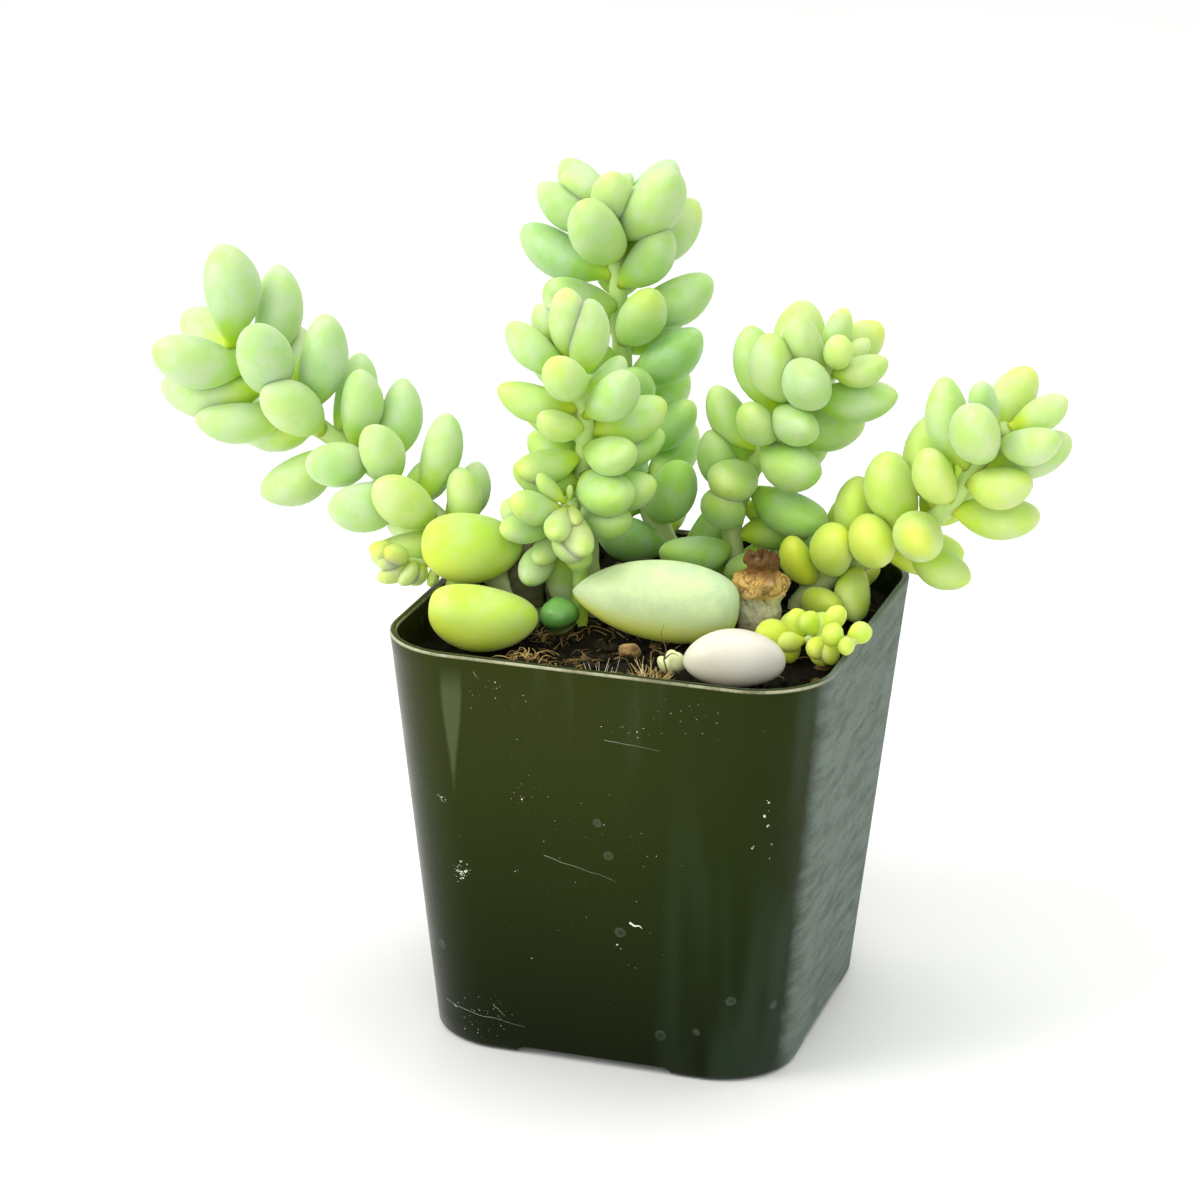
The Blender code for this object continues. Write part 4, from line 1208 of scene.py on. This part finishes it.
def spur_paint():
    """Old bare stem: olive below, cream above, with dark scars where leaves dropped off."""
    paint = Paint("old_stem", Roughness=0.8, Specular_IOR_Level=0.3)
    share = paint.value("share")
    rough = paint.speckle(420.0, 5.0, 0.6)
    skin = paint.colours(paint.varied(rough, 0.3, share, clamp=True),
                         (0.35, (0.10, 0.10, 0.045)), (0.6, (0.20, 0.18, 0.10)),
                         (0.85, (0.42, 0.37, 0.27)), (1.0, (0.55, 0.50, 0.38)))
    scar = paint.speckle(330.0, 4.0, 0.65, at=paint.place((0.7, 0.7, 1.6)))
    skin = paint.mix(paint.ramp(scar, 0.53, 0.62, 0.0, 0.85), skin, (0.045, 0.028, 0.015))
    return paint.done(skin, rough, 0.7, 0.0008)


def dark_paint():
    return plain_paint(
        "dark_leaf", (260.0, 3.0), 0.2,
        ((0.55, (0.07, 0.055, 0.02)), (0.74, (0.06, 0.11, 0.02)), (0.84, (0.08, 0.24, 0.04)),
         (1.0, (0.17, 0.42, 0.09))),
        Roughness=0.38, **soft(0.2, 0.002, (0.5, 1.0, 0.2)))


def pale_paint():
    paint = Paint("spent_skin", Roughness=0.45, **soft(0.3, 0.0015, (1.0, 0.8, 0.6)))
    skin = paint.colours(paint.speckle(160.0, 4.0), (0.3, (0.68, 0.58, 0.50)),
                         (0.5, (0.72, 0.68, 0.60)), (0.75, (0.76, 0.75, 0.68)))
    skin = paint.mix(paint.times(paint.value("tint"), 2.6, clamp=True), skin, (0.70, 0.76, 0.40))
    freckle = paint.ramp(paint.speckle(620.0, 2.0), 0.70, 0.76, 0.0, 0.5)
    skin = paint.mix(freckle, skin, (0.42, 0.27, 0.15))
    return paint.done(skin, paint.speckle(700.0, 3.0), 0.1, 0.0003)


def stump_paint():
    paint = Paint("stump_skin", Roughness=0.9, Specular_IOR_Level=0.15)
    share = paint.value("share")
    rough = paint.speckle(380.0, 6.0, 0.62)
    streak = paint.speckle(90.0, 5.0, 0.6, at=paint.place((4, 4, 1)))
    at = paint.varied(paint.minus(rough, 0.5), 0.16, share)
    skin = paint.colours(
        at, (0.36, (0.28, 0.23, 0.10)), (0.46, (0.60, 0.58, 0.38)), (0.66, (0.72, 0.70, 0.48)),
        (0.71, (0.74, 0.50, 0.17)), (0.82, (0.62, 0.39, 0.11)), (0.88, (0.24, 0.115, 0.025)),
        (1.0, (0.11, 0.05, 0.014)))
    skin = paint.mix(paint.ramp(streak, 0.5, 0.7, 0.0, 0.4), skin, (0.16, 0.105, 0.05))
    skin = paint.mix(paint.ramp(rough, 0.55, 0.75, 0.0, 0.45), skin, (0.74, 0.66, 0.44))
    off = paint.minus(paint.speckle(240.0, 3.0, 0.6, distortion=1.2), 0.5)
    crack = paint.ramp(paint.math("ABSOLUTE", off), 0.0, 0.03, 0.75, 0.0)
    skin = paint.mix(paint.times(crack, paint.ramp(share, 0.58, 0.70, 0.25, 1.0)), skin,
                     (0.10, 0.05, 0.02))
    return paint.done(skin, rough, 0.9, 0.0012)


def soil_paint():
    paint = Paint("dark_soil", Roughness=0.95, Specular_IOR_Level=0.15)
    rough = paint.speckle(700.0, 6.0, 0.7)
    skin = paint.colours(paint.varied(paint.value("share"), 0.25, rough, clamp=True),
                         (0.35, (0.003, 0.003, 0.001)), (0.6, (0.015, 0.012, 0.005)),
                         (0.9, (0.07, 0.05, 0.02)))
    skin = paint.mix(paint.value("tint"), skin, (0.17, 0.105, 0.035))
    return paint.done(skin, rough, 0.9, 0.001)


def fibre_paint():
    return plain_paint(
        "dry_fibre", (500.0, 3.0), 0.3,
        ((0.12, (0.10, 0.065, 0.02)), (0.4, (0.30, 0.19, 0.05)), (0.65, (0.66, 0.46, 0.15)),
         (1.0, (0.86, 0.83, 0.66))), Roughness=0.7)


def bark_paint():
    return plain_paint(
        "bark_bit", (650.0, 5.0, 0.6), 0.0,
        ((0.35, (0.09, 0.05, 0.015)), (0.55, (0.28, 0.17, 0.055)), (0.8, (0.46, 0.31, 0.12))),
        (0.7, 0.0006), Roughness=0.9)


def pot_paint():
    """Dark green plastic, darker towards the foot as painted shade, with dust, dried water spots and
    scuffs.
    """
    paint = Paint("green_plastic", Roughness=0.3, Specular_IOR_Level=0.38, IOR=1.42,
                  Specular_Tint=(0.45, 0.55, 0.18, 1.0))
    coords = paint.tree.nodes.new("ShaderNodeTexCoord").outputs["Object"]
    parts = paint.node("ShaderNodeSeparateXYZ", Vector=coords)
    across = parts.outputs["X"]
    height = parts.outputs["Z"]
    # Painted shade: the green darkens steeply from the rim down to the foot
    at = paint.varied(paint.speckle(35.0, 3.0), 0.012, height)
    skin = paint.colours(paint.ramp(at, 0.004, 0.056), (0.0, (0.001, 0.003, 0.001)),
                         (0.45, (0.006, 0.012, 0.001)), (1.0, (0.018, 0.023, 0.003)))
    # Pale runs under the rim, painted shade that darkens and cools the right half, and its upright bands
    run = paint.speckle(170.0, 3.0, 0.6, at=paint.place((1, 1, 0.04)))
    run = paint.times(paint.ramp(run, 0.5, 0.75, 0.0, 0.10), paint.ramp(height, 0.030, 0.052))
    skin = paint.mix(run, skin, (0.20, 0.27, 0.17))
    # Painted shade: the right half is multiplied darker and cooler
    shade = paint.ramp(across, -0.004, 0.020, 0.0, 0.75)
    skin = paint.mix(shade, skin, paint.mix(1.0, skin, (0.50, 0.72, 0.85), "MULTIPLY"))
    band = paint.ramp(paint.speckle(120.0, 2.0, 0.5, at=paint.place((1, 1, 0.02))), 0.48, 0.62, 0.0, 0.10)
    skin = paint.mix(paint.times(band, paint.ramp(across, 0.004, 0.018)), skin, (0.10, 0.19, 0.13))
    # A painted reflection: a pale streak on the left of the front wall, which narrows downwards
    off = paint.math("ABSOLUTE", paint.plus(across, 0.0176))
    thin = paint.ramp(height, 0.036, 0.050, 0.0001, 0.0013)
    painted_reflection = paint.ramp(paint.minus(off, thin), -0.0003, 0.0003, 1.0, 0.0)
    painted_reflection = paint.times(painted_reflection, paint.ramp(height, 0.034, 0.040))
    painted_reflection = paint.times(painted_reflection, paint.ramp(height, 0.0485, 0.0535, 0.30, 0.0))
    front = paint.ramp(parts.outputs["Y"], -0.022, -0.021, 1.0, 0.0)
    skin = paint.mix(paint.times(painted_reflection, front), skin, (0.14, 0.19, 0.10))
    # Water marks with a stronger ring
    scuff = paint.speckle(60.0, 8.0, 0.7, at=paint.place((1, 1, 6)))
    far = paint.node("ShaderNodeTexVoronoi", Vector=coords, Scale=150.0).outputs["Distance"]
    mark = paint.ramp(paint.varied(paint.speckle(900.0, 3.0), 0.1, far), 0.13, 0.17, 0.09, 0.0)
    mark = paint.times(mark, paint.ramp(far, 0.02, 0.11, 0.25, 1.0))
    keep = paint.ramp(paint.speckle(50.0, 2.0), 0.54, 0.60)
    skin = paint.mix(paint.times(mark, keep), skin, (0.42, 0.50, 0.42))
    # The dusty lip
    lip = paint.times(paint.ramp(height, 0.05385, 0.05405), paint.ramp(height, 0.05425, 0.0543, 1.0, 0.0))
    crumb = paint.ramp(paint.speckle(170.0, 8.0, 0.8), 0.36, 0.64, 0.20, 0.70)
    skin = paint.mix(paint.times(lip, crumb), skin, (0.58, 0.57, 0.38))
    # The right wall is grey and scuffed, with a feathered edge and small pits
    taper = (POT_TOP_HALF - POT_BOTTOM_HALF) / POT_HEIGHT
    wall = paint.varied(height, taper, POT_BOTTOM_HALF * MM)
    feather = paint.varied(paint.speckle(300.0, 4.0, 0.6), 0.0012, -0.0006)
    inside = paint.plus(paint.minus(across, wall), feather)
    side = paint.ramp(inside, -0.0014, 0.0)
    scratch = paint.speckle(130.0, 8.0, 0.7, at=paint.place((1, 1, 5)))
    worn = paint.times(side, paint.ramp(scratch, 0.30, 0.62, 0.45, 1.0))
    skin = paint.mix(worn, skin, (0.155, 0.20, 0.172))
    pit = paint.ramp(paint.speckle(420.0, 3.0, 0.6, at=paint.place((1, 1, 3))), 0.60, 0.68, 0.0, 0.55)
    skin = paint.mix(paint.times(side, pit), skin, (0.06, 0.085, 0.07))
    rough = paint.varied(scuff, 0.22, 0.17)
    paint.plug(paint.shader.inputs["Roughness"], paint.varied(side, 0.35, rough))
    return paint.done(skin, paint.times(side, scratch), 0.35, 0.0004)


def speck_paint():
    return plain_paint(
        "lime_specks", (900.0, 2.0), 0.3,
        ((0.0, (0.16, 0.19, 0.13)), (0.6, (0.34, 0.37, 0.28)), (1.0, (0.80, 0.80, 0.70))), Roughness=0.9)


def floor_paint():
    return plain_paint("pale_floor", (6.0, 3.0), 0.0,
                       ((0.3, (0.86, 0.86, 0.855)), (0.7, (0.89, 0.89, 0.885))), Roughness=0.6)


# ---------------------------------------------------------------- studio


CAMERA_AT = (0.135223, -0.460854, 0.220454)
CAMERA_RIGHT = (0.95378949, 0.30014849, 0.01401724)
CAMERA_UP = (-0.11091659, 0.30833992, 0.94478781)
CAMERA_LENS = 120.03
# Half of the floor's side and how far it lies under the pot's foot, in metres
FLOOR_HALF = 4.0
FLOOR_DROP = 0.0002
LIGHT_AIM = (-0.01, 0.0, 0.06)
# Name, place, size, power and colour of each light
LIGHTS = (
    ("key", (-0.6, -0.45, 0.6), 0.5, 4.1, (1.0, 0.985, 0.94)),
    ("top", (0.15, 0.2, 0.9), 0.6, 2.4, (0.97, 1.0, 1.0)),
    ("front", (0.3, -0.95, 0.5), 0.8, 3.7, (1.0, 1.0, 0.97)),
)


def add_camera():
    camera = bpy.data.cameras.new("camera")
    camera.lens = CAMERA_LENS
    camera.sensor_width = 36.0
    camera.clip_start = 0.01
    camera.clip_end = 20.0
    right = Vector(CAMERA_RIGHT)
    up = Vector(CAMERA_UP)
    back = right.cross(up)
    turn = Matrix((right, up, back)).transposed().to_4x4()
    item = put("camera", camera)
    item.matrix_world = Matrix.Translation(CAMERA_AT) @ turn
    bpy.context.scene.camera = item


def add_light(name, place, size, power, colour):
    lamp = bpy.data.lights.new(name, "AREA")
    lamp.shape = "DISK"
    lamp.size = size
    lamp.energy = power
    lamp.color = colour
    item = put(name, lamp)
    item.location = place
    item.rotation_euler = (Vector(LIGHT_AIM) - Vector(place)).to_track_quat("-Z", "Y").to_euler()


def add_floor():
    mesh = bpy.data.meshes.new("floor")
    side = FLOOR_HALF
    mesh.from_pydata([(-side, -side, 0), (side, -side, 0), (side, side, 0), (-side, side, 0)],
                     [], [(0, 1, 2, 3)])
    mesh.materials.append(floor_paint())
    item = put("floor", mesh)
    item.location.z = -FLOOR_DROP


# Backdrop, then the open side of the studio and its darker right side
SKY_STOPS = ((0.0, (1.0, 1.0, 1.0)), (0.12, (0.96, 0.96, 0.945)), (0.3, (0.96, 0.96, 0.945)),
             (0.8, (0.42, 0.43, 0.42)))


def add_studio():
    world = bpy.data.worlds.new("studio")
    world.use_nodes = True
    nodes = world.node_tree.nodes
    back = nodes["Background"]
    back.inputs["Strength"].default_value = 1.0
    way = nodes.new("ShaderNodeTexCoord").outputs["Generated"]
    split = nodes.new("ShaderNodeVectorMath")
    split.operation = "DOT_PRODUCT"
    split.inputs[1].default_value = (0.9, -0.4, 0.0)
    shade = nodes.new("ShaderNodeValToRGB")
    fill_band(shade.color_ramp.elements, SKY_STOPS)
    links = world.node_tree.links
    links.new(way, split.inputs[0])
    links.new(split.outputs["Value"], shade.inputs["Fac"])
    links.new(shade.outputs["Color"], back.inputs["Color"])
    bpy.context.scene.world = world
    bpy.context.scene.view_settings.view_transform = "Standard"
    for light in LIGHTS:
        add_light(*light)


# ---------------------------------------------------------------- the plant

SLOTS = {
    "pot": "pot_plastic", "soil": "soil", "stem_left": "leaf_left", "stem_tall": "leaf_tall",
    "stem_middle": "leaf_middle", "stem_front": "leaf_front", "stem_right": "leaf_right",
    "stem_low": "leaf_low", "sprout_left": "sprout_left", "sprout_right": "sprout_right",
    "cut_stub": "stub", "bulb_shoot": "bulb", "stump": "bark", "leaf_soil": "leaf_yellow",
    "leaf_wide": "leaf_wide", "pale_leaf": "spent_leaf", "plantlet": "plantlet",
    "bark_chunk": "chunk",
}


def main():
    add_camera()
    add_studio()
    add_floor()
    make_pot_fine(pot_paint())
    make_specks(speck_paint())
    make_soil_fine([soil_paint(), fibre_paint()])
    greens = [leaf_paint(), stem_paint(), spur_paint(), dark_paint()]
    make_plants(greens)
    make_loose(greens)
    make_pale(pale_paint())
    make_stump_fine(stump_paint())
    make_chunk_fine(bark_paint())


main()
